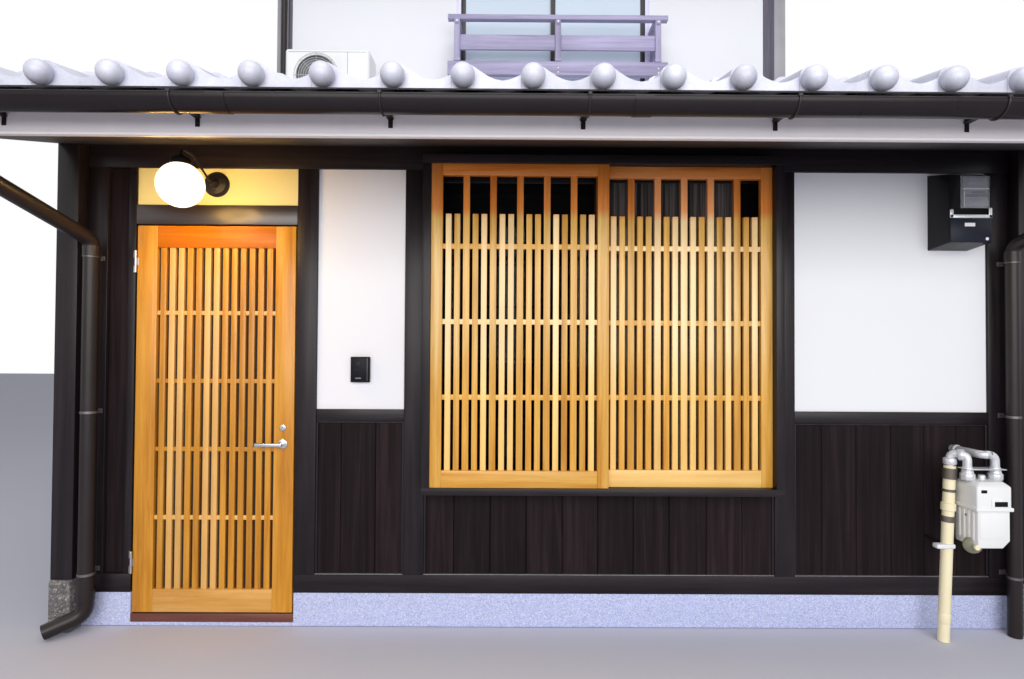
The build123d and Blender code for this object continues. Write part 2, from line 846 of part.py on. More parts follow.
def gutter_bracket(x, y, z, wall_y):
    """Bar from the fascia that carries the gutter on a hook."""
    half = gutter_bracket_width / 2
    outside = gutter_radius + gutter_bracket_thickness
    hook = rod((x - half, y, z), (x + half, y, z), outside, gutter_sides)
    channel = rod((x - half - 1, y, z), (x + half + 1, y, z), gutter_radius, gutter_sides)
    hook -= block(x - half - 1, x + half + 1, y - 2 * gutter_radius, y + 2 * gutter_radius,
                  z, z + 2 * gutter_radius)
    reach = y + (gutter_radius if wall_y > y else -gutter_radius)
    arm = block(x - half, x + half, min(reach, wall_y), max(reach, wall_y),
                z - gutter_bracket_width, z)
    return hook + arm - channel


def lower_bracket_places():
    """Places along the lower gutter, as many as fit between its outlets."""
    margin = (left_pipe_diameter + gutter_bracket_width) / 2
    lowest = wall_left + left_outlet_inset + margin
    highest = wall_right - right_outlet_inset - margin
    to_left = int((middle_bracket_x - lowest) / gutter_bracket_pitch)
    to_right = int((highest - middle_bracket_x) / gutter_bracket_pitch)
    return [middle_bracket_x + i * gutter_bracket_pitch for i in range(-to_left, to_right + 1)]


def rainwater():
    lower_z = deck_z(-eave_reach) - gutter_drop
    overhang = main_block_depth / 2 + main_overhang
    main_reach = overhang + gutter_radius - gutter_clearance
    main_z = main_deck_z(overhang) - gutter_drop
    main_ys = [ridge_y - main_reach, ridge_y + main_reach]
    save("gutters", gutter(gutter_y, lower_z), *[gutter(y, main_z) for y in main_ys])
    brackets = [gutter_bracket(x, gutter_y, lower_z, -fascia_reach) for x in lower_bracket_places()]
    rafter_end = overhang - main_tile_reach
    for y, wall_y in zip(main_ys, (ridge_y - rafter_end, ridge_y + rafter_end)):
        for x0 in rafter_lefts()[::2]:
            brackets.append(gutter_bracket(x0 + rafter_width / 2, y, main_z, wall_y))
    save("gutter_brackets", *brackets)
    downpipes(lower_z, main_z, main_reach)


def downpipes(lower_z, main_z, main_reach):
    y = -pipe_stand_off
    top = lower_z - gutter_radius
    left_outlet, right_outlet = wall_left + left_outlet_inset, wall_right - right_outlet_inset
    left = bent_pipe([(left_outlet, gutter_y, top), (left_outlet, gutter_y, top - gutter_outlet_drop),
                      (left_pipe_x, y, pipe_top), (left_pipe_x, y, pipe_foot),
                      (wall_left + foot_outlet_inset, y - foot_forward, foot_height)],
                     left_pipe_diameter / 2, pipe_bend)
    right = bent_pipe([(right_outlet, gutter_y, top), (right_outlet, gutter_y, top - gutter_outlet_drop),
                       (right_pipe_x, y, pipe_top), (right_pipe_x, y, 0)],
                      right_pipe_diameter / 2, pipe_bend)
    upper_y = upper_front - upper_pipe_diameter / 2 - upper_pipe_gap
    upper_top = main_z - gutter_radius
    upper_end = tile_crest_z(upper_front) + flashing_height + upper_pipe_gap
    upper = bent_pipe([(upper_pipe_x, ridge_y - main_reach, upper_top),
                       (upper_pipe_x, ridge_y - main_reach, upper_top - gutter_outlet_drop),
                       (upper_pipe_x, upper_y, upper_top - upper_pipe_drop),
                       (upper_pipe_x, upper_y, upper_end)], upper_pipe_diameter / 2, pipe_bend)
    save("downpipes", left, right, upper)
    straps = []
    for x, diameter in ((left_pipe_x, left_pipe_diameter), (right_pipe_x, right_pipe_diameter)):
        for height in strap_heights:
            straps.append(pipe_strap(x, y, height, diameter / 2))
    save("pipe_straps", *straps)


def pipe_strap(x, y, z, radius):
    """Band round a pipe, with a stem back to the wall."""
    plane = Plane((x, y, z))
    band = RegularPolygon(radius + strap_thickness, pipe_sides)
    band -= RegularPolygon(radius, pipe_sides, major_radius=False)
    ring = Solid.extrude((plane * band).face(), Vector(0, 0, strap_height))
    stem = block(x - strap_height / 2, x + strap_height / 2, y + radius + strap_thickness / 2, 0,
                 z, z + strap_height)
    return ring + stem


def upper_storey():
    beams = []
    plates = []
    for y0 in (upper_front, back_post_front):
        beams.append(block(inner_left, inner_right, y0, y0 + post_depth,
                           upper_floor_top - girder_height, upper_floor_top))
    outline = [(upper_front, wall_top - plate_height), (upper_front + post_depth, wall_top - plate_height),
               (upper_front + post_depth, wall_top + main_slope * post_depth), (upper_front, wall_top)]
    plates.append(side_prism(outline, inner_left, inner_right))
    outline = [(2 * ridge_y - y, z) for y, z in outline]
    plates.append(side_prism(outline, inner_left, inner_right))
    save("upper_beams", *beams, *plates)
    save("upper_floor", block(inner_left, inner_right, upper_front + post_depth, back_post_front,
                              upper_floor_top - upper_floor_thickness, upper_floor_top))
    top = wall_top - plate_height
    posts, sides, middles = [], [], []
    x0 = upper_window_centre - upper_window_width / 2
    x1 = x0 + upper_window_width
    window_top = upper_window_sill + upper_window_height
    for y0, face in ((upper_front, upper_front + plaster_recess),
                     (back_post_front, house_back - plaster_recess - plaster_thickness)):
        y1, back = y0 + post_depth, face + plaster_thickness
        posts.append(block(inner_right - post_width, inner_right, y0, y1, upper_floor_top, top))
        left = inner_left + upper_left_post_width
        posts.append(block(inner_left, left, y0, y1, upper_floor_top, top))
        sides.append(block(left, x0, face, back, upper_floor_top, top))
        sides.append(block(x1, inner_right - post_width, face, back, upper_floor_top, top))
        middles.append(block(x0, x1, face, back, upper_floor_top, upper_window_sill))
        middles.append(block(x0, x1, face, back, window_top, top))
    save("upper_posts", *posts)
    save("upper_side_panels", *sides)
    save("upper_window_panels", *middles)


def balcony():
    y0 = upper_front - balcony_reach
    y1 = y0 + balcony_beam_depth
    base = upper_window_sill + balcony_base_rise
    top = base + balcony_base_height
    board = upper_window_sill + balcony_board_rise
    rail = upper_window_sill + balcony_rail_rise
    board_y = y0 + (balcony_beam_depth - balcony_board_thickness) / 2
    rights = [x + balcony_post_width for x in balcony_post_lefts]
    rails = [block(balcony_left, balcony_right, y0, y1, base, top),
             block(balcony_left, balcony_right, y0, y1, rail, rail + balcony_rail_height)]
    for x0, x1 in zip(rights, balcony_post_lefts[1:]):
        rails.append(block(x0, x1, board_y, board_y + balcony_board_thickness,
                           board, board + balcony_board_height))
    side = (balcony_post_width - balcony_board_thickness) / 2
    for x in (balcony_post_lefts[0], balcony_post_lefts[-1]):
        rails.append(block(x + side, x + side + balcony_board_thickness, y1, upper_front,
                           board, board + balcony_board_height))
    save("balcony_rails", *rails)
    posts, arms = [], []
    for x in balcony_post_lefts:
        posts.append(block(x, x + balcony_post_width, y0, y1, top, rail))
    for x in (balcony_post_lefts[0], balcony_post_lefts[-1]):
        for z, height in ((base, balcony_base_height), (rail, balcony_rail_height)):
            arms.append(block(x, x + balcony_post_width, y1, upper_front, z, z + height))
    save("balcony_posts", *posts, *arms)


def cooler():
    right = cooler_left + cooler_width
    front = upper_front - cooler_wall_gap - cooler_depth
    back = front + cooler_depth
    bottom = tile_crest_z(front) + cooler_foot_height
    top = bottom + cooler_height
    case = block(cooler_left, right, front, back, bottom, top)
    case = chamfer(case.edges().filter_by(Axis.Z) + case.faces().sort_by(Axis.Z)[-1].edges(), cooler_corner)
    fan_x, fan_z = cooler_left + fan_from_left, top - fan_from_top
    recess = rod((fan_x, front - 1, fan_z), (fan_x, front + fan_recess, fan_z), fan_radius, fan_sides)
    hub = rod((fan_x, front + fan_recess, fan_z), (fan_x, front + fan_ring_width, fan_z),
              fan_hub_radius, pipe_sides)
    ring = rod((fan_x, front, fan_z), (fan_x, front + fan_ring_width, fan_z), fan_radius, fan_sides)
    ring -= rod((fan_x, front - 1, fan_z), (fan_x, front + fan_ring_width + 1, fan_z),
                fan_radius - fan_ring_width, fan_sides)
    save("air_conditioner", case - recess + hub + ring)
    crests = [x for x in roll_places() if cooler_left < x < right - cooler_foot_width]
    feet = []
    for x in (crests[0], crests[-1]):
        half = cooler_foot_width / 2
        outline = [(front, tile_crest_z(front)), (back, tile_crest_z(back)), (back, bottom), (front, bottom)]
        feet.append(side_prism(outline, x - half, x + half))
    save("air_conditioner_feet", *feet)


def lamp():
    wall = plaster_recess
    y1 = -lamp_reach
    rose = disc(lamp_x, wall, lamp_height, lamp_rose_radius, lamp_rose_thickness)
    globe_top = globe_height + globe_radius
    cap_top = globe_top + globe_cap_height
    cap = rod((lamp_x, y1, globe_top - globe_overlap), (lamp_x, y1, cap_top), globe_cap_radius)
    arm_top = cap_top + lamp_arm_rise
    arm = bent_pipe([(lamp_x, wall - lamp_rose_thickness / 2, lamp_height),
                     (lamp_x, wall - lamp_rose_thickness - lamp_arm_start, lamp_height),
                     (lamp_x, y1 + lamp_arm_run, arm_top), (lamp_x, y1, arm_top),
                     (lamp_x, y1, cap_top - globe_cap_height / 2)], lamp_arm_radius, lamp_arm_bend)
    globe = bun((lamp_x, y1, globe_height), globe_radius, globe_rings, globe_sides, (0, 0, 1))
    save("lamp_bracket", rose + arm + (cap - globe))
    save("lamp_globe", globe)


def doorphone():
    face = plaster_recess
    save("doorphone", block(doorphone_x, doorphone_x + doorphone_width, face - doorphone_depth, face,
                            doorphone_bottom, doorphone_bottom + doorphone_height))


def meter_box():
    """Case with a falling lid, a window over a proud trim and a cover below."""
    face = plaster_recess
    front = face - meter_box_depth
    left, right = meter_box_x, meter_box_x + meter_box_width
    top = meter_box_bottom + meter_box_height
    front_top, front_bottom = top - meter_box_lid_fall, meter_box_bottom + meter_box_base_rise
    case = side_prism([(face, meter_box_bottom), (face, top), (front, front_top), (front, front_bottom)],
                      left, right)
    window_right = right - meter_window_margin
    window_top = front_top - meter_window_margin
    window_bottom = window_top - meter_window_height
    case -= block(window_right - meter_window_width, window_right, front - 1, front + meter_window_recess,
                  window_bottom, window_top)
    trim_bottom = window_bottom - meter_trim_rise
    trims = [block(left, right, front - meter_trim_proud, front,
                   trim_bottom, trim_bottom + meter_trim_height)]
    for x in (left, right - meter_trim_width):
        trims.append(block(x, x + meter_trim_width, front - meter_trim_proud, front, trim_bottom,
                           trim_bottom + meter_trim_rise))
    cover = block(left, right, front - meter_cover_proud, front, front_bottom, trim_bottom)
    save("electric_meter_box", case.fuse(*trims, cover))


def front_prism(outline, y0, y1):
    """Solid with an outline in X and Z, drawn out along Y."""
    face = Face(Wire.make_polygon([Vector(x, y0, z) for x, z in outline], close=True))
    return Solid.extrude(face, Vector(0, y1 - y0, 0))


def gas_meter():
    """Upper case on a ledge, with a tapered lower case and a round drain below it."""
    back = -gas_meter_stand_off
    front = back - gas_meter_depth
    left, right = gas_meter_x, gas_meter_x + gas_meter_width
    top = gas_meter_bottom + gas_meter_height
    ledge = gas_meter_bottom + gas_meter_ledge_height
    upper = block(left, right, front, back, ledge, top)
    proud = gas_meter_ledge_proud
    rim = block(left - proud, right + proud, front - proud, back, ledge, ledge + gas_meter_ledge_thickness)
    low_left, low_right = left + gas_meter_lower_inset, right - gas_meter_lower_inset
    lower = front_prism([(low_left, ledge), (low_right, ledge),
                         (low_right, gas_meter_bottom + gas_meter_chamfer),
                         (low_right - gas_meter_chamfer, gas_meter_bottom),
                         (low_left + gas_meter_taper, gas_meter_bottom),
                         (low_left, gas_meter_bottom + gas_meter_ledge_height / 3)],
                        front + gas_meter_lower_inset, back)
    middle = (front + back) / 2
    drain_x = left + gas_drain_inset
    drain = rod((drain_x, middle + gas_drain_thickness, gas_meter_bottom),
                (drain_x, middle - gas_drain_thickness, gas_meter_bottom), gas_drain_radius)
    save("gas_meter", upper.fuse(rim, lower, drain))
    return middle, top


def gas_pipes(middle, top):
    """Leaning riser, steel bends and the two unions that carry the meter."""
    union_top = top + gas_union_height
    inlet_x, outlet_x = gas_meter_x + gas_inlet_inset, gas_meter_x + gas_meter_width - gas_outlet_inset
    pipe_y = -gas_meter_stand_off - gas_pipe_radius - 1
    riser_top = gas_coupling_bottom + gas_coupling_height
    top_x = gas_riser_x + gas_riser_lean
    riser = rod((gas_riser_x, pipe_y, 0), (top_x, pipe_y, riser_top), gas_pipe_radius)
    coupling = rod((top_x, pipe_y, gas_coupling_bottom), (top_x, pipe_y, riser_top), gas_coupling_radius)
    inlet = bent_pipe([(top_x, pipe_y, gas_coupling_bottom), (top_x, pipe_y, gas_loop_height),
                        (inlet_x, middle, gas_loop_height), (inlet_x, middle, top)],
                       gas_steel_radius, gas_bend)
    outlet_back = outlet_x - gas_outlet_back
    outlet = bent_pipe([(outlet_x, middle, top), (outlet_x, middle, gas_loop_height),
                        (outlet_back, middle, gas_loop_height),
                        (outlet_back, board_recess, gas_loop_height)], gas_steel_radius, gas_bend)
    unions = [rod((x, middle, top), (x, middle, union_top), gas_union_radius) for x in (inlet_x, outlet_x)]
    strap_x = gas_riser_x + gas_riser_lean * gas_strap_height / riser_top
    strap = block(strap_x - gas_strap_width / 2, strap_x + gas_strap_width / 2, pipe_y + gas_pipe_radius / 2,
                  board_recess, gas_strap_height - gas_strap_thickness / 2,
                  gas_strap_height + gas_strap_thickness / 2)
    save("gas_pipes", riser.fuse(coupling, inlet, unions[0], strap), outlet + unions[1])


def main():
    os.makedirs("parts", exist_ok=True)
    foundations()
    party_walls()
    boundary_posts()
    timber_frame()
    ground_walls()
    entrance_door()
    door_fittings()
    window_box()
    lattice_window()
    windows()
    rafters()
    eave()
    roof_decks()
    roof_tiles()
    ridges()
    rainwater()
    upper_storey()
    balcony()
    cooler()
    lamp()
    doorphone()
    meter_box()
    gas_pipes(*gas_meter())


main()
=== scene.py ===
import json
import math
import random

import bmesh
import bpy
from mathutils import Matrix, Vector

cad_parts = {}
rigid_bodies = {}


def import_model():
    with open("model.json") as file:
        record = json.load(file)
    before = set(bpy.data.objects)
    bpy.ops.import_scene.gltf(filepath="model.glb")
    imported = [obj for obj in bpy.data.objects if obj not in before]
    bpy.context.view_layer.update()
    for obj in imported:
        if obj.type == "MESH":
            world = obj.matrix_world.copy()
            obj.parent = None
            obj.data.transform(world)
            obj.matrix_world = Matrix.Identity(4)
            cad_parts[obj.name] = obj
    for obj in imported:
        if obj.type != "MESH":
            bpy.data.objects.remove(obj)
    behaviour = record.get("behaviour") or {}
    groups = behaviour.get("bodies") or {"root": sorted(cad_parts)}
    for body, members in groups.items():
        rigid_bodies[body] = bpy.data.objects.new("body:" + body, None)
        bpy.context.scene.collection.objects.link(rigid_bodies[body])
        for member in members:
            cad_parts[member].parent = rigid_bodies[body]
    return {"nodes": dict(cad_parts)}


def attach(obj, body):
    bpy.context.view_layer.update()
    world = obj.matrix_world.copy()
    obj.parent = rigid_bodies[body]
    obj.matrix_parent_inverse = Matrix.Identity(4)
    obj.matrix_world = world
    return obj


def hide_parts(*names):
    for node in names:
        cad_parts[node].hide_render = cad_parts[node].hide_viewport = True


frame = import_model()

scene = bpy.context.scene
nodes = frame["nodes"]
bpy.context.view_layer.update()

# Townhouse seen from the street. Metres, +Z up, Y runs from the street into the house.
house = {
    "left": -2.525, "right": 2.525, "innerLeft": -2.415, "innerRight": 2.415,
    "upperFront": 2.8, "ridgeY": 5.5, "roofSlope": 0.2825, "mainSlope": 0.45,
    "eaveY": -0.91, "deckAtWall": 2.64, "tileBase": 0.086, "mainDeckAtRidge": 7.238,
}


def say(stage):
    print("stage:", stage)


# modelling by hand
def choose(piece):
    bpy.ops.object.select_all(action="DESELECT")
    piece.select_set(True)
    bpy.context.view_layer.objects.active = piece


def newPiece(name):
    piece = bpy.data.objects.new(name, bpy.data.meshes.new(name))
    scene.collection.objects.link(piece)
    openMesh(piece)
    return piece


def openMesh(piece):
    choose(piece)
    bpy.ops.object.mode_set(mode="EDIT")
    bpy.ops.mesh.select_mode(type="VERT")


def closeMesh():
    bpy.ops.object.mode_set(mode="OBJECT")


def pickFaces(piece, wanted):
    bpy.ops.mesh.select_all(action="DESELECT")
    work = bmesh.from_edit_mesh(piece.data)
    for face in work.faces:
        face.select_set(wanted(face.calc_center_median(), face.normal))
    bmesh.update_edit_mesh(piece.data)


def pickPoints(piece, wanted):
    bpy.ops.mesh.select_all(action="DESELECT")
    work = bmesh.from_edit_mesh(piece.data)
    for vertex in work.verts:
        vertex.select_set(wanted(vertex.co))
    work.select_flush(True)
    bmesh.update_edit_mesh(piece.data)


def modify(piece, kind, **settings):
    modifier = piece.modifiers.new(kind, kind)
    for name, value in settings.items():
        setattr(modifier, name, value)
    choose(piece)
    bpy.ops.object.modifier_apply(modifier=modifier.name)


def easeEdges(piece, width, segments=2, angle=35):
    modify(piece, "BEVEL", width=width, segments=segments, limit_method="ANGLE",
           angle_limit=math.radians(angle), use_clamp_overlap=True)


def smoothFaces(piece, angle=32):
    choose(piece)
    bpy.ops.object.shade_smooth_by_angle(angle=math.radians(angle))


def addBlock(x0, x1, y0, y1, z0, z1):
    bpy.ops.mesh.primitive_cube_add(size=1, location=((x0 + x1) / 2, (y0 + y1) / 2, (z0 + z1) / 2),
                                    scale=(x1 - x0, y1 - y0, z1 - z0))


# random shade for each of the equal parts of a piece
def giveTones(piece, count, seed):
    layer = piece.data.attributes.new("tone", "FLOAT", "POINT")
    draw = random.Random(seed)
    shades = [draw.random() for i in range(count)]
    total = len(piece.data.vertices)
    layer.data.foreach_set("value", [shades[min(i * count // total, count - 1)] for i in range(total)])


# places are what addBlock takes
def blockPiece(name, places, edge, seed, segments=2):
    piece = newPiece(name)
    for place in places:
        addBlock(*place)
    closeMesh()
    giveTones(piece, len(places), seed)
    if edge:
        easeEdges(piece, edge, segments)
    smoothFaces(piece)
    return piece


# places of blocks about x and z, each from (half width, low, high) and two depths
def blocksAbout(x, z, spans):
    return [(x - half, x + half, min(start, end), max(start, end), z + low, z + high)
            for (half, low, high), start, end in spans]


# rings are (distance along the axis, radius), drawn out of a disc ring by ring
def addTurned(centre, axis, rings, sides=32):
    centre, axis = Vector(centre), Vector(axis).normalized()
    turn = axis.to_track_quat("Z", "Y").to_euler()
    bpy.ops.mesh.select_all(action="DESELECT")
    at, radius = rings[0]
    bpy.ops.mesh.primitive_circle_add(vertices=sides, radius=radius, fill_type="NGON",
                                      location=centre + axis * at, rotation=turn)
    for nextAt, nextRadius in rings[1:]:
        step = axis * (nextAt - at)
        bpy.ops.mesh.extrude_region_move(TRANSFORM_OT_translate={"value": step})
        size = nextRadius / radius
        bpy.ops.transform.resize(value=(size, size, size), center_override=centre + axis * nextAt)
        at, radius = nextAt, nextRadius
    bpy.ops.mesh.select_linked()
    bpy.ops.mesh.normals_make_consistent(inside=False)


# rings of a band with eased ends that stands proud of a round bar
def bandRings(radius, proud, length, ease):
    return [(0, radius), (ease, radius + proud), (length - ease, radius + proud), (length, radius)]


# parts are what addTurned takes
def turnedPiece(name, parts, angle=32):
    piece = newPiece(name)
    for part in parts:
        addTurned(*part)
    closeMesh()
    smoothFaces(piece, angle)
    return piece


def faceOut():
    bpy.ops.mesh.select_all(action="SELECT")
    bpy.ops.mesh.normals_make_consistent(inside=False)


# an edge is drawn out point by point into a bent sheet
def newStrip(name, along, points):
    piece = newPiece(name)
    start, end = (Vector(place) for place in along)
    points = [Vector(point) for point in points]
    middle = (start + end) / 2 + points[0]
    turn = (end - start).to_track_quat("Y", "Z").to_euler()
    length = (end - start).length
    bpy.ops.mesh.primitive_plane_add(size=length, location=middle, rotation=turn)
    work = bmesh.from_edit_mesh(piece.data)
    work.verts.ensure_lookup_table()
    side = turn.to_matrix() @ Vector((1, 0, 0))
    for vertex in work.verts:
        vertex.select_set((vertex.co - middle).dot(side) < 0)
    bmesh.update_edit_mesh(piece.data)
    bpy.ops.mesh.delete(type="VERT")
    bpy.ops.mesh.select_all(action="SELECT")
    bpy.ops.transform.translate(value=side * (-length / 2))
    for before, after in zip(points, points[1:]):
        bpy.ops.mesh.extrude_region_move(TRANSFORM_OT_translate={"value": after - before})
    return piece


def roundedRoute(points, bend, steps=6):
    points = [Vector(point) for point in points]
    route = [points[0]]
    for before, corner, after in zip(points, points[1:], points[2:]):
        first = corner + (before - corner).normalized() * bend
        last = corner + (after - corner).normalized() * bend
        for i in range(steps + 1):
            share = i / steps
            route.append(first * (1 - share) ** 2 + corner * 2 * share * (1 - share) + last * share ** 2)
    route.append(points[-1])
    return route


# routes are (points, radius, bend); a curve with a round section, made a mesh
def tubePiece(name, routes, fine):
    curve = bpy.data.curves.new(name, "CURVE")
    curve.dimensions = "3D"
    curve.bevel_depth = 1.0
    curve.bevel_resolution = fine
    curve.use_fill_caps = True
    for points, radius, bend in routes:
        route = roundedRoute(points, bend) if bend else [Vector(point) for point in points]
        spline = curve.splines.new("POLY")
        spline.points.add(len(route) - 1)
        for point, place in zip(spline.points, route):
            point.co = (*place, 1)
            point.radius = radius
    piece = bpy.data.objects.new(name, curve)
    scene.collection.objects.link(piece)
    choose(piece)
    bpy.ops.object.convert(target="MESH")
    piece = bpy.context.object
    smoothFaces(piece, 40)
    return piece


# upright ring that faces the street
def ringRoute(centre, radius, steps=32):
    turns = [2 * math.pi * i / steps for i in range(steps + 1)]
    return [centre + Vector((math.cos(turn), 0, math.sin(turn))) * radius for turn in turns]


# copy of a CAD node whose edges are eased
def easedCopy(node, name, edge, angle=35):
    piece = bpy.data.objects.new(name, nodes[node].data.copy())
    scene.collection.objects.link(piece)
    piece.data.materials.clear()
    openMesh(piece)
    bpy.ops.mesh.select_all(action="SELECT")
    bpy.ops.mesh.remove_doubles(threshold=0.00001)
    bpy.ops.mesh.dissolve_limited(angle_limit=math.radians(1))
    closeMesh()
    easeEdges(piece, edge, angle=angle)
    smoothFaces(piece)
    return piece


def joined(first, *others):
    choose(first)
    for other in others:
        other.select_set(True)
    bpy.ops.object.join()
    return first


def finish(piece, look, slot, replaced=(), body="house"):
    piece.data.materials.clear()
    piece.data.materials.append(looks[look])
    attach(piece, body)
    if replaced:
        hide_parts(*replaced)


# materials
class Value:
    def __init__(self, look, socket):
        self.look = look
        self.socket = socket

    def maths(self, operation, first, second):
        return self.look.maths(operation, first, second)

    def __add__(self, other):
        return self.maths("ADD", self, other)

    __radd__ = __add__

    def __sub__(self, other):
        return self.maths("SUBTRACT", self, other)

    def __rsub__(self, other):
        return self.maths("SUBTRACT", other, self)

    def __mul__(self, other):
        return self.maths("MULTIPLY", self, other)

    __rmul__ = __mul__

    def __truediv__(self, other):
        return self.maths("DIVIDE", self, other)

    def __gt__(self, other):
        return self.maths("GREATER_THAN", self, other)

    def __lt__(self, other):
        return self.maths("LESS_THAN", self, other)


class Look:
    def __init__(self, name):
        self.material = bpy.data.materials.new(name)
        self.material.use_nodes = True
        self.tree = self.material.node_tree
        self.shader = self.tree.nodes["Principled BSDF"]

    def add(self, kind, settings=None, sockets=None, out=0):
        node = self.tree.nodes.new(kind)
        for name, value in (settings or {}).items():
            if name == "stops":
                self.setStops(node.color_ramp, value)
            else:
                setattr(node, name, value)
        for name, value in (sockets or {}).items():
            if isinstance(value, Value):
                self.tree.links.new(value.socket, node.inputs[name])
            else:
                node.inputs[name].default_value = value
        return Value(self, node.outputs[out])

    def maths(self, operation, first, second):
        return self.add("ShaderNodeMath", {"operation": operation}, {0: first, 1: second})

    def setStops(self, ramp, stops):
        while len(ramp.elements) < len(stops):
            ramp.elements.new(0.5)
        for element, (place, colour) in zip(ramp.elements, stops):
            element.position = place
            element.color = (*colour, 1)

    def place(self, scale=(1, 1, 1), shift=None):
        spot = self.add("ShaderNodeTexCoord", out="Object")
        if shift is not None:
            moved = self.add("ShaderNodeCombineXYZ", None, {0: shift, 1: shift * 0.7, 2: shift * 1.3})
            spot = self.add("ShaderNodeVectorMath", {"operation": "ADD"}, {0: spot, 1: moved})
        return self.add("ShaderNodeMapping", None, {"Vector": spot, "Scale": scale})

    def axis(self, letter):
        spot = self.add("ShaderNodeTexCoord", out="Object")
        return self.add("ShaderNodeSeparateXYZ", None, {0: spot}, out="XYZ".index(letter))

    def noise(self, spot, scale, detail=3.0, rough=0.55, distortion=0.0):
        return self.add("ShaderNodeTexNoise", None, {"Vector": spot, "Scale": scale, "Detail": detail,
                                                     "Roughness": rough, "Distortion": distortion})

    def cells(self, spot, scale, feature="F1", out="Distance"):
        return self.add("ShaderNodeTexVoronoi", {"feature": feature}, {"Vector": spot, "Scale": scale},
                        out=out)

    def ramp(self, value, stops):
        return self.add("ShaderNodeValToRGB", {"stops": stops}, {0: value}, out="Color")

    def mix(self, factor, first, second, blend="MIX"):
        first, second = (colour if isinstance(colour, Value) else (*colour, 1) for colour in (first, second))
        return self.add("ShaderNodeMix", {"data_type": "RGBA", "blend_type": blend},
                        {0: factor, 6: first, 7: second}, out=2)   # the sockets of its colour form

    def tone(self):
        return self.add("ShaderNodeAttribute", {"attribute_name": "tone"}, out="Fac")

    # colour made lighter or darker by a number
    def shaded(self, colour, shade):
        grey = self.add("ShaderNodeCombineXYZ", None, {0: shade, 1: shade, 2: shade})
        return self.mix(1.0, colour, grey, "MULTIPLY")

    def between(self, value, low, high):
        return value * (high - low) + low

    def bump(self, height, strength, distance):
        sockets = {"Height": height, "Strength": strength, "Distance": distance}
        return self.add("ShaderNodeBump", None, sockets, out="Normal")

    def finish(self, **sockets):
        names = {"colour": "Base Color", "roughness": "Roughness", "metallic": "Metallic", "normal": "Normal",
                 "coat": "Coat Weight", "coatRoughness": "Coat Roughness", "alpha": "Alpha",
                 "glow": "Emission Color", "glowStrength": "Emission Strength",
                 "specular": "Specular IOR Level"}
        for name, value in sockets.items():
            socket = self.shader.inputs[names[name]]
            if isinstance(value, Value):
                self.tree.links.new(value.socket, socket)
            elif name in ("colour", "glow"):
                socket.default_value = (*value, 1)
            else:
                socket.default_value = value
        return self.material


# stained or oiled timber; the grain runs along finish axis
def timberLook(name, finish):
    look = Look(name)
    stretch = [finish.get("across", 26.0)] * 3
    stretch["XYZ".index(finish["axis"])] = 1.3   # the grain is long this way
    tone = look.tone()
    spot = look.place(stretch, tone * 9.0)
    streaks = look.noise(spot, 1.0, 5.0, 0.6, 0.6)
    figure = look.noise(spot, 0.35, 2.0, 0.5, 2.2)
    fibres = look.noise(look.place([5.5 * value for value in stretch], tone * 9.0), 1.0, 4.0, 0.65)
    patches = look.noise(look.place((1.7, 1.7, 1.7)), 1.0, 3.0, 0.6)
    mixed = streaks * 0.5 + figure * 0.35 + fibres * 0.15
    grain = look.ramp(mixed, [(0.36, finish["dark"]), (0.5, finish["middle"]), (0.66, finish["light"])])
    if "pale" in finish:
        grain = look.mix((tone > 0.62) * look.between(patches, 0.25, 0.75), grain, finish["pale"])
    # colour multiplied by height; on the lattice its red brown top is a painted shadow of the eave
    if "heightTintAndEaveShade" in finish:
        low, high, stops = finish["heightTintAndEaveShade"]
        height = (look.axis("Z") - low) / (high - low)
        grain = look.mix(1.0, grain, look.ramp(height, stops), "MULTIPLY")
    shade = look.between(tone, 1 - finish["spread"], 1 + finish["spread"])
    shade = shade * look.between(patches, 1 - finish["patches"], 1 + finish["patches"])
    return look.finish(colour=look.shaded(grain, shade), roughness=look.between(fibres, *finish["rough"]),
                       normal=look.bump(mixed, finish["bump"], 0.004), coat=finish.get("coat", 0.0),
                       coatRoughness=0.25, specular=finish.get("specular", 0.5))


darkFinish = {"dark": (0.0085, 0.0062, 0.0076), "middle": (0.0155, 0.0115, 0.0140),
              "light": (0.028, 0.0210, 0.0255), "spread": 0.10, "patches": 0.35, "rough": (0.24, 0.48),
              "bump": 0.22, "axis": "Z", "specular": 0.25}
lintelFinish = {**darkFinish, "axis": "X", "dark": (0.014, 0.006, 0.004), "middle": (0.024, 0.011, 0.007),
                "light": (0.038, 0.019, 0.012), "rough": (0.30, 0.38), "bump": 0.04, "specular": 1.0}
boardFinish = {"dark": (0.0060, 0.0034, 0.0040), "middle": (0.0135, 0.0082, 0.0095),
               "light": (0.0270, 0.0165, 0.0185), "spread": 0.30, "patches": 0.30, "rough": (0.5, 0.78),
               "bump": 0.45, "axis": "Z", "across": 34.0, "specular": 0.10}
goldFinish = {"dark": (0.45, 0.165, 0.008), "middle": (0.62, 0.265, 0.020), "light": (0.74, 0.37, 0.055),
              "pale": (0.80, 0.52, 0.20), "spread": 0.16, "patches": 0.14, "rough": (0.26, 0.42),
              "bump": 0.10, "axis": "Z", "coat": 0.18, "specular": 0.35}
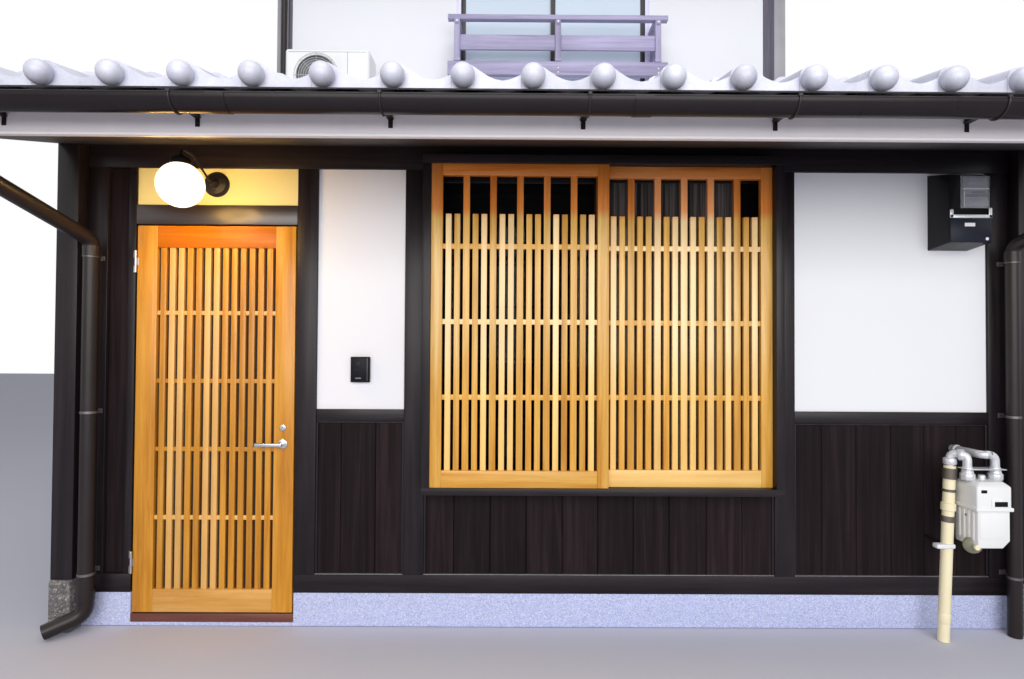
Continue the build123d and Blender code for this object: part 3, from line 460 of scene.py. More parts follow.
# the colour is multiplied by height from the lower to the upper height: warmer at the foot, and red brown
# over the short bars as a painted shadow of the eave
latticeFinish = {**goldFinish, "dark": (0.57, 0.265, 0.033), "middle": (0.75, 0.425, 0.095),
                 "light": (0.89, 0.63, 0.250), "pale": (0.93, 0.76, 0.47), "rough": (0.28, 0.45),
                 "heightTintAndEaveShade": (0.745, 2.385, [(0.0, (1.0, 0.86, 0.53)), (0.28, (1.0, 0.90, 0.60)),
                                         (0.44, (1, 1, 1)), (0.828, (1, 1, 1)), (0.86, (0.96, 0.54, 0.40))])}
# the head rail's redder orange is painted light of the porch lamp above it
lampLitHeadFinish = {**goldFinish, "axis": "X", "dark": (0.55, 0.130, 0.001), "middle": (0.66, 0.185, 0.002),
                  "light": (0.74, 0.24, 0.004), "pale": (0.70, 0.22, 0.004), "coat": 0.0, "specular": 0.25}
doorFootFinish = {**goldFinish, "axis": "X", "dark": (0.56, 0.25, 0.040), "middle": (0.68, 0.35, 0.085),
                  "light": (0.78, 0.46, 0.15)}
sillFinish = {"dark": (0.085, 0.022, 0.014), "middle": (0.14, 0.040, 0.026), "light": (0.20, 0.062, 0.042),
              "spread": 0.10, "patches": 0.15, "rough": (0.35, 0.55), "bump": 0.15, "axis": "X", "coat": 0.2}
rawFinish = {"dark": (0.30, 0.20, 0.12), "middle": (0.42, 0.29, 0.18), "light": (0.53, 0.39, 0.25),
             "spread": 0.10, "patches": 0.2, "rough": (0.55, 0.75), "bump": 0.25, "axis": "Y"}
railFinish = {"dark": (0.26, 0.237, 0.370), "middle": (0.37, 0.338, 0.510), "light": (0.48, 0.445, 0.650),
              "spread": 0.10, "patches": 0.25, "rough": (0.35, 0.6), "bump": 0.2, "axis": "X"}
upperPostFinish = {**railFinish, "dark": (0.055, 0.048, 0.075), "middle": (0.085, 0.076, 0.110),
                   "light": (0.13, 0.118, 0.165), "axis": "Z"}


def turned(finish, axis):
    return {**finish, "axis": axis}


def plasterLook():
    look = Look("white plaster")
    trowel = look.noise(look.place((1.6, 1.6, 2.6)), 2.2, 5.0, 0.6, 0.8)
    grit = look.noise(look.place(), 260.0, 2.0, 0.6)
    stain = look.noise(look.place((1.0, 1.0, 0.45)), 1.3, 4.0, 0.6)
    colour = look.mix(stain * 0.6, (0.80, 0.81, 0.845), (0.88, 0.885, 0.91))
    # painted lamp light: a yellow pool of the porch lamp's light painted on the plaster over the door
    paintedLampLight = (look.axis("X") < -1.30) * (look.axis("Y") < 1.0)
    paintedLampLight = paintedLampLight * (look.axis("Z") > 2.15) * (look.axis("Z") < 2.5)
    colour = look.mix(paintedLampLight, colour, (0.84, 0.76, 0.36))
    height = trowel * 0.7 + grit * 0.3
    return look.finish(colour=colour, roughness=look.between(grit, 0.78, 0.95),
                       normal=look.bump(height, 0.18, 0.004), specular=0.25)


def renderLook():
    look = Look("grey render")
    clouds = look.noise(look.place(), 1.1, 6.0, 0.62)
    streaks = look.noise(look.place((6, 6, 0.5)), 1.0, 4.0, 0.6)
    grit = look.noise(look.place(), 190.0, 2.0, 0.6)
    mixed = clouds * 0.6 + streaks * 0.4
    colour = look.ramp(mixed, [(0.3, (0.27, 0.265, 0.28)), (0.5, (0.36, 0.355, 0.375)),
                               (0.7, (0.46, 0.45, 0.47))])
    height = grit * 0.6 + clouds * 0.4
    return look.finish(colour=colour, roughness=look.between(grit, 0.8, 0.97),
                       normal=look.bump(height, 0.35, 0.004), specular=0.2)


# washed gravel: small stones of several shades in a cement ground
def aggregateLook(name, finish):
    look = Look(name)
    spot = look.place()
    bent = look.noise(spot, finish["scale"] * 0.8, 2.0)
    shade = look.cells(spot, finish["scale"], out="Color")
    shadeValue = look.add("ShaderNodeSeparateColor", None, {0: shade}, out=0)
    edge = look.cells(spot, finish["scale"], "DISTANCE_TO_EDGE")
    stones = look.ramp(shadeValue, finish["stones"])
    gap = look.ramp(edge, [(0.0, (0, 0, 0)), (0.12, (1, 1, 1))])
    gapValue = look.add("ShaderNodeSeparateColor", None, {0: gap}, out=0)
    clouds = look.noise(spot, 2.3, 4.0, 0.6)
    ground = look.mix(gapValue, finish["ground"], stones)
    colour = look.mix(clouds * 0.35, ground, finish["wash"])
    height = gapValue * 0.75 + bent * 0.25
    return look.finish(colour=colour, roughness=look.between(shadeValue, 0.55, 0.9),
                       normal=look.bump(height, finish["bump"], 0.003))


plinthFinish = {"scale": 210.0, "ground": (0.43, 0.47, 0.71), "wash": (0.56, 0.62, 0.95), "bump": 0.5,
                "stones": [(0.0, (0.32, 0.36, 0.58)), (0.35, (0.53, 0.58, 0.90)), (0.7, (0.67, 0.72, 0.97)),
                           (1.0, (0.84, 0.89, 0.98))]}
pebbleFinish = {"scale": 95.0, "ground": (0.085, 0.08, 0.08), "wash": (0.17, 0.165, 0.17), "bump": 0.9,
                "stones": [(0.0, (0.07, 0.07, 0.075)), (0.4, (0.17, 0.165, 0.165)),
                           (0.75, (0.27, 0.25, 0.23)), (1.0, (0.42, 0.40, 0.37))]}


def tileLook():
    look = Look("smoked silver tile")
    tone = look.tone()
    spot = look.place((1, 1, 1), tone * 5.0)
    clouds = look.noise(spot, 7.0, 5.0, 0.6, 0.4)
    specks = look.noise(spot, 120.0, 2.0, 0.5)
    mixed = clouds * 0.75 + specks * 0.25
    colour = look.ramp(mixed, [(0.3, (0.46, 0.47, 0.56)), (0.52, (0.57, 0.58, 0.67)),
                               (0.72, (0.67, 0.68, 0.76))])
    return look.finish(colour=look.shaded(colour, look.between(tone, 0.90, 1.08)), metallic=0.12,
                       roughness=look.between(mixed, 0.34, 0.6), normal=look.bump(mixed, 0.14, 0.003))


# painted or moulded surface with slight unevenness and dust
def paintLook(name, finish):
    look = Look(name)
    spot = look.place()
    clouds = look.noise(spot, finish.get("clouds", 6.0), 4.0, 0.6)
    fine = look.noise(spot, finish.get("fine", 420.0), 2.0, 0.5)
    drips = look.noise(look.place((22, 22, 1.6)), 1.0, 3.0, 0.6)
    mixed = clouds * 0.6 + drips * 0.4
    return look.finish(colour=look.mix(mixed, finish["dark"], finish["light"]),
                       roughness=look.between(mixed, *finish["rough"]), metallic=finish.get("metal", 0.0),
                       specular=finish.get("specular", 0.5),
                       normal=look.bump(fine, finish.get("bump", 0.06), 0.001))


paints = {
    "fascia": {"dark": (0.74, 0.70, 0.72), "light": (0.84, 0.80, 0.82), "rough": (0.45, 0.65)},
    # paler than the fascia: a painted highlight on its folded lower edge
    "fasciaLipHighlight": {"dark": (0.86, 0.84, 0.86), "light": (0.92, 0.90, 0.92), "rough": (0.4, 0.6)},
    "soffit": {"dark": (0.012, 0.009, 0.009), "light": (0.022, 0.017, 0.017), "rough": (0.5, 0.7)},
    "gutter": {"dark": (0.009, 0.0065, 0.0075), "light": (0.017, 0.013, 0.015), "rough": (0.22, 0.36),
               "specular": 0.2},
    "pipe": {"dark": (0.012, 0.009, 0.009), "light": (0.026, 0.020, 0.020), "rough": (0.26, 0.42),
             "specular": 0.28},
    "strap": {"dark": (0.10, 0.09, 0.095), "light": (0.22, 0.21, 0.22), "rough": (0.3, 0.5), "metal": 0.7},
    "sash": {"dark": (0.020, 0.017, 0.018), "light": (0.040, 0.034, 0.036), "rough": (0.3, 0.45),
             "metal": 0.4},
    "upperSash": {"dark": (0.62, 0.60, 0.86), "light": (0.74, 0.72, 0.96), "rough": (0.35, 0.5),
                  "metal": 0.1},
    "cream": {"dark": (0.76, 0.77, 0.76), "light": (0.86, 0.87, 0.86), "rough": (0.35, 0.5)},
    "coolerWhite": {"dark": (0.78, 0.79, 0.79), "light": (0.88, 0.89, 0.885), "rough": (0.38, 0.55)},
    "coolerDark": {"dark": (0.14, 0.145, 0.15), "light": (0.20, 0.205, 0.21), "rough": (0.5, 0.7)},
    "guard": {"dark": (0.44, 0.45, 0.45), "light": (0.54, 0.55, 0.55), "rough": (0.4, 0.55)},
    "ivory": {"dark": (0.80, 0.71, 0.45), "light": (0.93, 0.85, 0.60), "rough": (0.4, 0.6)},
    "galvanised": {"dark": (0.36, 0.37, 0.39), "light": (0.60, 0.61, 0.64), "rough": (0.25, 0.5),
                   "metal": 0.85, "clouds": 60.0},
    "silver": {"dark": (0.62, 0.63, 0.66), "light": (0.76, 0.77, 0.80), "rough": (0.3, 0.42), "metal": 0.6},
    "palePipe": {"dark": (0.54, 0.55, 0.58), "light": (0.80, 0.81, 0.84), "rough": (0.3, 0.5), "metal": 0.35,
                 "clouds": 60.0},
    "satin": {"dark": (0.50, 0.50, 0.51), "light": (0.64, 0.64, 0.66), "rough": (0.22, 0.34), "metal": 1.0},
    "drain": {"dark": (0.13, 0.13, 0.09), "light": (0.34, 0.33, 0.23), "rough": (0.3, 0.5)},
    "clamp": {"dark": (0.055, 0.045, 0.035), "light": (0.21, 0.18, 0.15), "rough": (0.3, 0.5), "metal": 0.5},
    "iron": {"dark": (0.010, 0.008, 0.008), "light": (0.022, 0.018, 0.018), "rough": (0.35, 0.55),
             "metal": 0.3},
    "blackPlastic": {"dark": (0.004, 0.004, 0.005), "light": (0.008, 0.008, 0.010), "rough": (0.3, 0.45),
                     "specular": 0.12},
    "bluePlastic": {"dark": (0.010, 0.012, 0.022), "light": (0.018, 0.021, 0.034), "rough": (0.3, 0.42),
                    "specular": 0.16},
    "greyPlastic": {"dark": (0.11, 0.11, 0.125), "light": (0.19, 0.19, 0.21), "rough": (0.35, 0.5)},
    "whitePlastic": {"dark": (0.74, 0.74, 0.76), "light": (0.84, 0.84, 0.86), "rough": (0.35, 0.5)},
    "concrete": {"dark": (0.30, 0.295, 0.29), "light": (0.44, 0.435, 0.43), "rough": (0.7, 0.9),
                 "fine": 160.0, "bump": 0.3, "clouds": 3.0},
    # near black sheet behind the door lattice: painted shade of the dark room behind
    "backing": {"dark": (0.010, 0.006, 0.004), "light": (0.020, 0.012, 0.008), "rough": (0.6, 0.8)},
    "deck": {"dark": (0.16, 0.14, 0.13), "light": (0.25, 0.225, 0.205), "rough": (0.6, 0.8)},
}


# panes behind the street lattice painted near black as painted shade of the room behind, with a slatted
# pattern over part of them; pale figured panes elsewhere, their pale colour mixed with a painted reflection
# of the sky
def glassLook():
    look = Look("window glass")
    pale = ((look.axis("Z") > 3.0) + (look.axis("Y") > 1.0)) > 0.5
    screened = (look.axis("X") > 0.27) * (look.axis("X") < 1.03) * (1 - pale)
    ripple = look.noise(look.place((1, 1, 1)), 38.0, 3.0, 0.6)
    slats = look.noise(look.place((34, 1, 0.5)), 1.5, 3.0, 0.7)
    clouds = look.noise(look.place((0.8, 0.8, 1.2)), 1.0, 2.0)
    # painted reflection of the sky in the pale panes' colour
    sky = look.mix(clouds, (0.58, 0.68, 0.80), (0.70, 0.79, 0.89))
    screen = look.ramp(slats, [(0.34, (0.020, 0.017, 0.016)), (0.5, (0.075, 0.066, 0.062)),
                               (0.68, (0.19, 0.172, 0.165))])
    # near black: painted shade of the room behind the lattice
    colour = look.mix(pale, look.mix(screened, (0.008, 0.008, 0.010), screen), sky)
    alpha = look.between(look.maths("MAXIMUM", pale, screened), 0.6, 0.97)
    return look.finish(colour=colour, alpha=alpha, roughness=look.between(pale, 0.06, 0.16), specular=0.12,
                       normal=look.bump(ripple, 0.03, 0.001))


def clearLook():
    look = Look("clear cover")
    dust = look.noise(look.place(), 30.0, 3.0, 0.6)
    return look.finish(colour=(0.55, 0.57, 0.62), alpha=look.between(dust, 0.14, 0.26), roughness=0.06)


def globeLook():
    look = Look("lit milk glass")
    clouds = look.noise(look.place(), 14.0, 2.0, 0.5)
    glow = look.mix(clouds, (1.0, 0.80, 0.48), (1.0, 0.86, 0.58))
    return look.finish(colour=(0.92, 0.88, 0.80), roughness=0.18, glow=glow, glowStrength=1.7)


timbers = {
    "postTimber": ("dark post", darkFinish), "beamTimber": ("dark beam", turned(darkFinish, "X")),
    "rafterTimber": ("dark rafter", turned(darkFinish, "Y")), "boardTimber": ("dark board", boardFinish),
    "doorUpright": ("golden upright", goldFinish), "doorLevel": ("golden rail", turned(goldFinish, "X")),
    "lampLitHead": ("golden head rail", lampLitHeadFinish), "doorFoot": ("golden foot rail", doorFootFinish),
    "lintelTimber": ("polished lintel", lintelFinish), "latticeUpright": ("lattice upright", latticeFinish),
    "latticeLevel": ("lattice rail", turned(latticeFinish, "X")),
    "threshold": ("brown threshold", sillFinish), "floorTimber": ("floor boards", rawFinish),
    "railTimber": ("purple brown rail", railFinish),
    "railUpright": ("purple brown upright", turned(railFinish, "Z")),
    "upperPost": ("upper post", upperPostFinish),
}
looks = {name: paintLook(name, finish) for name, finish in paints.items()}
looks.update({name: timberLook(title, finish) for name, (title, finish) in timbers.items()})
looks.update({"plaster": plasterLook(), "render": renderLook(), "tile": tileLook(), "glass": glassLook(),
              "plinth": aggregateLook("washed gravel", plinthFinish),
              "pebble": aggregateLook("pebble stone", pebbleFinish), "clear": clearLook(),
              "globe": globeLook()})
say("materials")


# CAD nodes that stay
keptNodes = {
    "ground_floor": "concrete", "party_wall_left": "render", "party_wall_right": "render",
    # the door backing is painted shade, a near black sheet
    "plaster_panels": "plaster", "door_backing": "backing", "window_glass": "glass",
    "rafters": "rafterTimber", "roof_decks": "deck", "upper_floor": "floorTimber",
    "upper_side_panels": "plaster", "upper_window_panels": "plaster", "eave_soffit": "soffit",
    "air_conditioner_feet": "galvanised",
}
for node, look in keptNodes.items():
    nodes[node].data.materials.clear()
    nodes[node].data.materials.append(looks[look])

# node, edge in metres, look, slot
easedNodes = [
    ("foundations", 0.004, "plinth", "washed_aggregate"),
    ("boundary_posts", 0.003, "postTimber", "dark_timber"),
    ("boundary_post_stones", 0.006, "pebble", "pebble_stone"),
    ("sill_beams", 0.0025, "beamTimber", "dark_timber"),
    ("ground_posts", 0.0025, "postTimber", "dark_timber"),
    ("header_beam", 0.0025, "beamTimber", "dark_timber"),
    ("door_lintel", 0.0025, "lintelTimber", "dark_timber"),
    ("door_threshold", 0.003, "threshold", "threshold_brown"),
    ("dado_rails", 0.002, "beamTimber", "dark_timber"),
    ("window_box_jambs", 0.002, "postTimber", "dark_timber"),
    ("window_box_boards", 0.002, "beamTimber", "dark_timber"),
    ("eave_fascia", 0.002, "fascia", "pale_grey_paint"),
    ("upper_posts", 0.0025, "upperPost", "dark_timber"),
    ("upper_beams", 0.003, "beamTimber", "dark_timber"),
    ("balcony_posts", 0.003, "railUpright", "purple_brown_paint"),
    ("balcony_rails", 0.003, "railTimber", "purple_brown_paint"),
    ("window_sashes", 0.0015, "sash", "dark_sash"),
    ("window_frames", 0.0015, "upperSash", "dark_sash"),
    ("electric_meter_box", 0.003, "blackPlastic", "black_plastic"),
]
for node, edge, look, slot in easedNodes:
    finish(easedCopy(node, node + "_eased", edge), look, slot, [node])
say("timber frame")


# wall boards
boards = {
    "front": 0.020, "back": 0.090, "gap": 0.0016, "edge": 0.0032,
    "bottom": 0.267, "top": 1.062, "bayTop": 0.708, "sideTop": 2.385,
    "narrow": [-1.211, -1.083, -0.902, -0.753],
    "bay": [-0.646, -0.491, -0.300, -0.111, 0.078, 0.264, 0.451, 0.640, 0.834, 1.021, 1.185],
    "wide": [1.292, 1.441, 1.623, 1.806, 1.981, 2.150, 2.308],
    "side": [-2.308, -2.201],
    "rear": [(-2.308, -0.932, 1.062), (0.932, 2.308, 1.062), (-0.825, 0.825, 1.2)],   # left, right, top
    "rearWidth": 0.18, "rearFace": 8.18, "rearDepth": 0.07,
    "stop": 0.010, "stopFront": 0.009, "capFront": 0.011, "cap": 0.009,
    "jointFront": 0.006, "joint": 0.0025, "fasciaLipHighlight": (-2.524, 2.524, -0.803, -0.799, 2.2755, 2.2845),
}


def boardRow(joints, y0, y1, z0, z1):
    half = boards["gap"] / 2
    return [(a + half, b - half, y0, y1, z0, z1) for a, b in zip(joints, joints[1:])]


def evenJoints(left, right, width):
    count = max(1, round((right - left) / width))
    return [left + (right - left) * i / count for i in range(count + 1)]


def wallBoards():
    b = boards
    bays = [(b["narrow"], b["top"]), (b["wide"], b["top"]), (b["bay"], b["bayTop"])]
    places = []
    for joints, top in bays + [(b["side"], b["sideTop"])]:
        places += boardRow(joints, b["front"], b["back"], b["bottom"], top)
    for left, right, top in b["rear"]:
        places += boardRow(evenJoints(left, right, b["rearWidth"]), b["rearFace"] - b["rearDepth"],
                           b["rearFace"], b["bottom"], top)
    finish(blockPiece("boards", places, b["edge"], seed=7, segments=1), "boardTimber", "dark_boards",
           ["wall_boards"])
    stops = []
    for joints, top in bays:
        left, right = joints[0], joints[-1]
        inLeft, inRight = left + b["stop"], right - b["stop"]
        stops.append((left, inLeft, b["stopFront"], b["front"], b["bottom"], top))
        stops.append((inRight, right, b["stopFront"], b["front"], b["bottom"], top))
        stops.append((inLeft, inRight, b["capFront"], b["front"], top - b["cap"], top))
    finish(blockPiece("board_stops", stops, 0.0015, seed=3, segments=1), "postTimber", "dark_boards")


# pale joint on the sill beam and the folded lower edge of the fascia, painted paler than the fascia as a
# highlight
def thinEdges():
    b = boards
    places = [(joints[0], joints[-1], b["jointFront"], b["front"], b["bottom"], b["bottom"] + b["joint"])
              for joints in (b["narrow"], b["bay"], b["wide"])]
    finish(blockPiece("sill_joint", places, 0.0004, seed=4, segments=1), "galvanised", "dark_timber")
    finish(blockPiece("fascia_lip", [b["fasciaLipHighlight"]], 0.001, seed=5, segments=1), "fasciaLipHighlight",
           "pale_grey_paint")


wallBoards()
thinEdges()
say("boards")


# entrance door
door = {
    "left": -2.153, "right": -1.326, "bottom": 0.070, "top": 2.080, "front": 0.002, "back": 0.042,
    "stile": 0.104, "topRail": 0.115, "bottomRail": 0.118, "railInset": 0.0006, "bars": 13, "bar": 0.030,
    "barFront": 0.006, "barBack": 0.026, "ties": 4, "tie": 0.022, "tieFront": 0.0085, "tieBack": 0.024,
    "tieRise": 0.014,
    "leverX": -1.382, "leverZ": 0.943, "lockZ": 1.027, "rose": 0.025, "lockRose": 0.017, "keySlot": 0.0012,
    "hingeX": -2.157, "hingeY": -0.006, "hingeLength": 0.114, "hinges": (1.890, 0.328), "hingeGap": 0.0006,
    "knuckle": 0.0065, "knuckleEase": 0.0007, "flap": 0.012, "leafFlap": (-0.001, 0.002),
    "jambFlap": (-0.003, 0.0), "keySlotOut": (0.0136, 0.0128), "roseDepth": 0.008,
    "lockCap": [(0, 0.0095), (0.004, 0.0095), (0.005, 0.0085)], "stem": [(0, 0.009), (0.036, 0.009)],
    "leverReach": 0.130, "leverEnd": 0.012, "leverOut": 0.0475, "leverThick": 0.0065, "leverHalf": 0.0095,
}
doorFaces = ((door["front"], -1), (door["back"], 1))


def entranceDoor():
    d = door
    x0, x1 = d["left"] + d["stile"], d["right"] - d["stile"]
    z0, z1 = d["bottom"] + d["bottomRail"], d["top"] - d["topRail"]
    stiles = [(left, right, d["front"], d["back"], d["bottom"], d["top"])
              for left, right in ((d["left"], x0), (x1, d["right"]))]
    finish(blockPiece("door_stiles", stiles, 0.0022, seed=11), "doorUpright", "golden_timber",
           ["door_leaf"], "door")
    front, back = d["front"] + d["railInset"], d["back"] - d["railInset"]
    # the head rail takes a finish with painted lamp light in its colour
    for name, look, low, high, seed in (("door_foot_rail", "doorFoot", d["bottom"], z0, 12),
                                        ("door_head_rail", "lampLitHead", z1, d["top"], 13)):
        rail = blockPiece(name, [(x0, x1, front, back, low, high)], 0.0018, seed)
        finish(rail, look, "golden_timber", ["door_leaf"], "door")
    gap = (x1 - x0 - d["bars"] * d["bar"]) / (d["bars"] + 1)
    lefts = [x0 + gap + i * (gap + d["bar"]) for i in range(d["bars"])]
    bars = [(x, x + d["bar"], d["barFront"], d["barBack"], z0, z1) for x in lefts]
    finish(blockPiece("door_bars", bars, 0.0018, seed=21), "doorUpright", "golden_timber",
           ["door_lattice"], "door")
    step = (z1 - z0) / (d["ties"] + 1)
    heights = [z0 + (i + 1) * step + d["tieRise"] for i in range(d["ties"])]
    ties = [(x0, x1, d["tieFront"], d["tieBack"], z - d["tie"] / 2, z + d["tie"] / 2) for z in heights]
    finish(blockPiece("door_ties", ties, 0.0012, seed=22), "doorLevel", "golden_timber",
           ["door_lattice"], "door")


# knuckles from the lower to the upper height of each span, with a flap to one side
def hingePiece(name, spans, flapX, flapY):
    d = door
    piece = newPiece(name)
    for low, high in spans:
        addTurned((d["hingeX"], d["hingeY"], low), (0, 0, 1),
                  bandRings(d["knuckle"] - d["knuckleEase"], d["knuckleEase"], high - low, 0.0008), 24)
        addBlock(*flapX, *flapY, low, high)
    closeMesh()
    smoothFaces(piece)
    return piece


def doorFittings():
    d = door
    x, flap, third = d["hingeX"], d["flap"], d["hingeLength"] / 3
    onLeaf, onJamb = [], []
    for height in d["hinges"]:
        low = height - d["hingeLength"] / 2
        onLeaf.append((low + third, low + 2 * third))
        onJamb.append((low, low + third - d["hingeGap"]))
        onJamb.append((low + 2 * third + d["hingeGap"], low + 3 * third))
    finish(hingePiece("leaf_hinges", onLeaf, (x, x + flap), d["leafFlap"]), "satin", "satin_metal",
           ["door_hardware"], "door")
    finish(hingePiece("jamb_hinges", onJamb, (x - flap, x), d["jambFlap"]), "satin", "satin_metal",
           ["hinge_plates"])
    roses = []
    for face, out in doorFaces:
        for z, radius in ((d["leverZ"], d["rose"]), (d["lockZ"], d["lockRose"])):
            rings = [(0, radius), (0.0055, radius), (0.0075, radius - 0.002),
                     (d["roseDepth"], radius - 0.004)]
            roses.append(((d["leverX"], face, z), (0, out, 0), rings, 40))
        roses.append(((d["leverX"], face + out * d["roseDepth"], d["lockZ"]), (0, out, 0), d["lockCap"], 32))
    finish(turnedPiece("door_roses", roses), "satin", "satin_metal", ["door_hardware"], "door")
    start, end = (d["front"] - out for out in d["keySlotOut"])
    slot = blocksAbout(d["leverX"], d["lockZ"], [((d["keySlot"], -4 * d["keySlot"], 4 * d["keySlot"]),
                                                  start, end)])
    finish(blockPiece("key_slots", slot, 0, seed=2), "iron", "satin_metal", [], "door")


def doorLever():
    d = door
    stems = [((d["leverX"], face + out * 0.0083, d["leverZ"]), (0, out, 0), d["stem"], 28)
             for face, out in doorFaces]
    handle = turnedPiece("lever_handle", stems)
    arms = newPiece("lever_arms")
    end = d["leverX"] - d["leverReach"]
    for face, out in doorFaces:
        y = face + out * d["leverOut"]
        addBlock(end, d["leverX"] + d["leverEnd"], y - d["leverThick"], y + d["leverThick"],
                 d["leverZ"] - d["leverHalf"], d["leverZ"] + d["leverHalf"])
    pickFaces(arms, lambda centre, normal: centre.x < end + 0.002)
    bpy.ops.transform.resize(value=(1, 0.85, 0.8),
                             center_override=(end, (d["front"] + d["back"]) / 2, d["leverZ"]))
    closeMesh()
    easeEdges(arms, 0.0045, 4)
    handle = joined(handle, arms)
    smoothFaces(handle)
    finish(handle, "satin", "satin_metal", ["door_lever"], "lever")


entranceDoor()
doorFittings()
doorLever()
say("door")


# lattice window
lattice = {
    "left": -0.6035, "right": 1.1425, "bottom": 0.7445, "top": 2.3845, "front": -0.112, "depth": 0.036,
    "stile": 0.058, "topRail": 0.060, "bottomRail": 0.086, "railInset": 0.0006, "parents": 5, "parent": 0.033,
    "children": 2, "child": 0.029, "childTop": 2.129, "barIn": 0.006, "barDepth": 0.026,
    "ties": (1.199, 1.581, 1.964), "tie": 0.026, "tieIn": 0.0085, "tieDepth": 0.014, "panelGap": 0.0005,
}


def latticePanel(name, node, x0, x1, front, seed):
    t = lattice
    back = front + t["depth"]
    left, right = x0 + t["stile"], x1 - t["stile"]
    low, high = t["bottom"] + t["bottomRail"], t["top"] - t["topRail"]
    uprights = [(a, b, front, back, t["bottom"], t["top"]) for a, b in ((x0, left), (right, x1))]
    cell = (right - left - t["parents"] * t["parent"]) / (t["parents"] + 1)
    gap = (cell - t["children"] * t["child"]) / (t["children"] + 1)
    barFront, barBack = front + t["barIn"], front + t["barIn"] + t["barDepth"]
    for i in range(t["parents"] + 1):
        cellLeft = left + i * (cell + t["parent"])
        if i < t["parents"]:
            uprights.append((cellLeft + cell, cellLeft + cell + t["parent"], barFront, barBack, low, high))
        for j in range(t["children"]):
            x = cellLeft + gap + j * (t["child"] + gap)
            uprights.append((x, x + t["child"], barFront, barBack, low, t["childTop"]))
    finish(blockPiece(name + "_uprights", uprights, 0.0018, seed), "latticeUpright", "golden_timber", [node])
    inset = t["railInset"]
    levels = [(left, right, front + inset, back - inset, z0, z1)
              for z0, z1 in ((t["bottom"], low), (high, t["top"]))]
    levels += [(left, right, front + t["tieIn"], front + t["tieIn"] + t["tieDepth"],
                z - t["tie"] / 2, z + t["tie"] / 2) for z in t["ties"]]
    finish(blockPiece(name + "_levels", levels, 0.0015, seed + 1), "latticeLevel", "golden_timber", [node])


middle = (lattice["left"] + lattice["right"]) / 2
latticePanel("near_lattice", "lattice_left", lattice["left"], middle + lattice["stile"] / 2,
             lattice["front"], 31)
latticePanel("far_lattice", "lattice_right", middle - lattice["stile"] / 2, lattice["right"],
             lattice["front"] + lattice["depth"] + lattice["panelGap"], 41)
say("lattice window")


# roof tiles
tiles = {
    "pitch": 0.262, "firstRoll": -2.479, "columns": 19, "vergeX": 2.479, "thickness": 0.015, "tuck": 0.03,
    "tilt": 0.019,
    "section": [(-0.045, 0.0), (-0.041, 0.018), (-0.033, 0.033), (-0.018, 0.043), (0.0, 0.046),
                (0.020, 0.043), (0.042, 0.031), (0.066, 0.014), (0.092, -0.003), (0.120, -0.015),
                (0.148, -0.020), (0.176, -0.015), (0.200, -0.005), (0.218, 0.004)],
    "cap": [(-0.045, 0.0), (-0.041, 0.018), (-0.033, 0.033), (-0.018, 0.043), (0.0, 0.046), (0.018, 0.043),
            (0.033, 0.033), (0.041, 0.018), (0.045, 0.0)],
    "crown": 0.046, "lowerRows": 16, "lowerStep": 0.2295,
    "mainRows": 14, "mainStep": 0.2265, "mainReach": 3.3,
    "lipBottom": -0.050, "lipLength": 0.10, "lipRise": 0.002,
    "ballRadius": 0.046, "ballDrop": 0.009, "ballReach": 0.024,
    "neck": [(0, 0.036), (0.012, 0.041), (0.02, 0.041)], "neckIn": 0.004,
}


# one tile with its lower edge at the origin; an eave tile also has a lip that hangs to a level line
def bentTile(name, section, length, slope, lip=None):
    t = tiles
    piece = newStrip(name, ((0, 0, 0), (0, length, 0)), [(x, 0, z) for x, z in section])
    pickPoints(piece, lambda place: place.y > length / 2)
    bpy.ops.transform.translate(value=(0, 0, slope * length - t["tilt"]))
    if lip is not None:
        pickPoints(piece, lambda place: place.y < 0.001)
        bpy.ops.mesh.extrude_region_move(TRANSFORM_OT_translate={"value": (0, 0, -0.02)})
        bpy.ops.transform.resize(value=(1, 1, 0), center_override=(0, 0, lip))
    faceOut()
    closeMesh()
    if piece.data.polygons[0].normal.z < 0:
        piece.data.flip_normals()
    modify(piece, "SOLIDIFY", thickness=t["thickness"], offset=-1)
    return piece


def repeat(piece, count, step):
    modify(piece, "ARRAY", count=count, use_relative_offset=False, use_constant_offset=True,
           constant_offset_displace=step)


def movePiece(piece, place, turn=0.0):
    piece.data.transform(Matrix.Translation(place) @ Matrix.Rotation(turn, 4, "Z"))


# section, columns and place of the full tiles, then of the half roll at the verge
def tileKinds():
    t = tiles
    return (t["section"], t["columns"], t["firstRoll"]), (t["cap"], 1, t["vergeX"])


def tileField(name, front, baseZ, slope, step, rows, turn, node):
    t = tiles
    parts = []
    for ending, (section, columns, x) in zip(("", "_verge"), tileKinds()):
        field = bentTile(name + ending, section, step + t["tuck"], slope)
        repeat(field, columns, (t["pitch"], 0, 0))
        repeat(field, rows, (0, step, step * slope))
        movePiece(field, (x, 0, 0))
        giveTones(field, columns * rows, 51)
        parts.append(field)
    field = joined(*parts)
    movePiece(field, (0, front, baseZ), turn)
    smoothFaces(field, 38)
    finish(field, "tile", "silver_tile", [node])


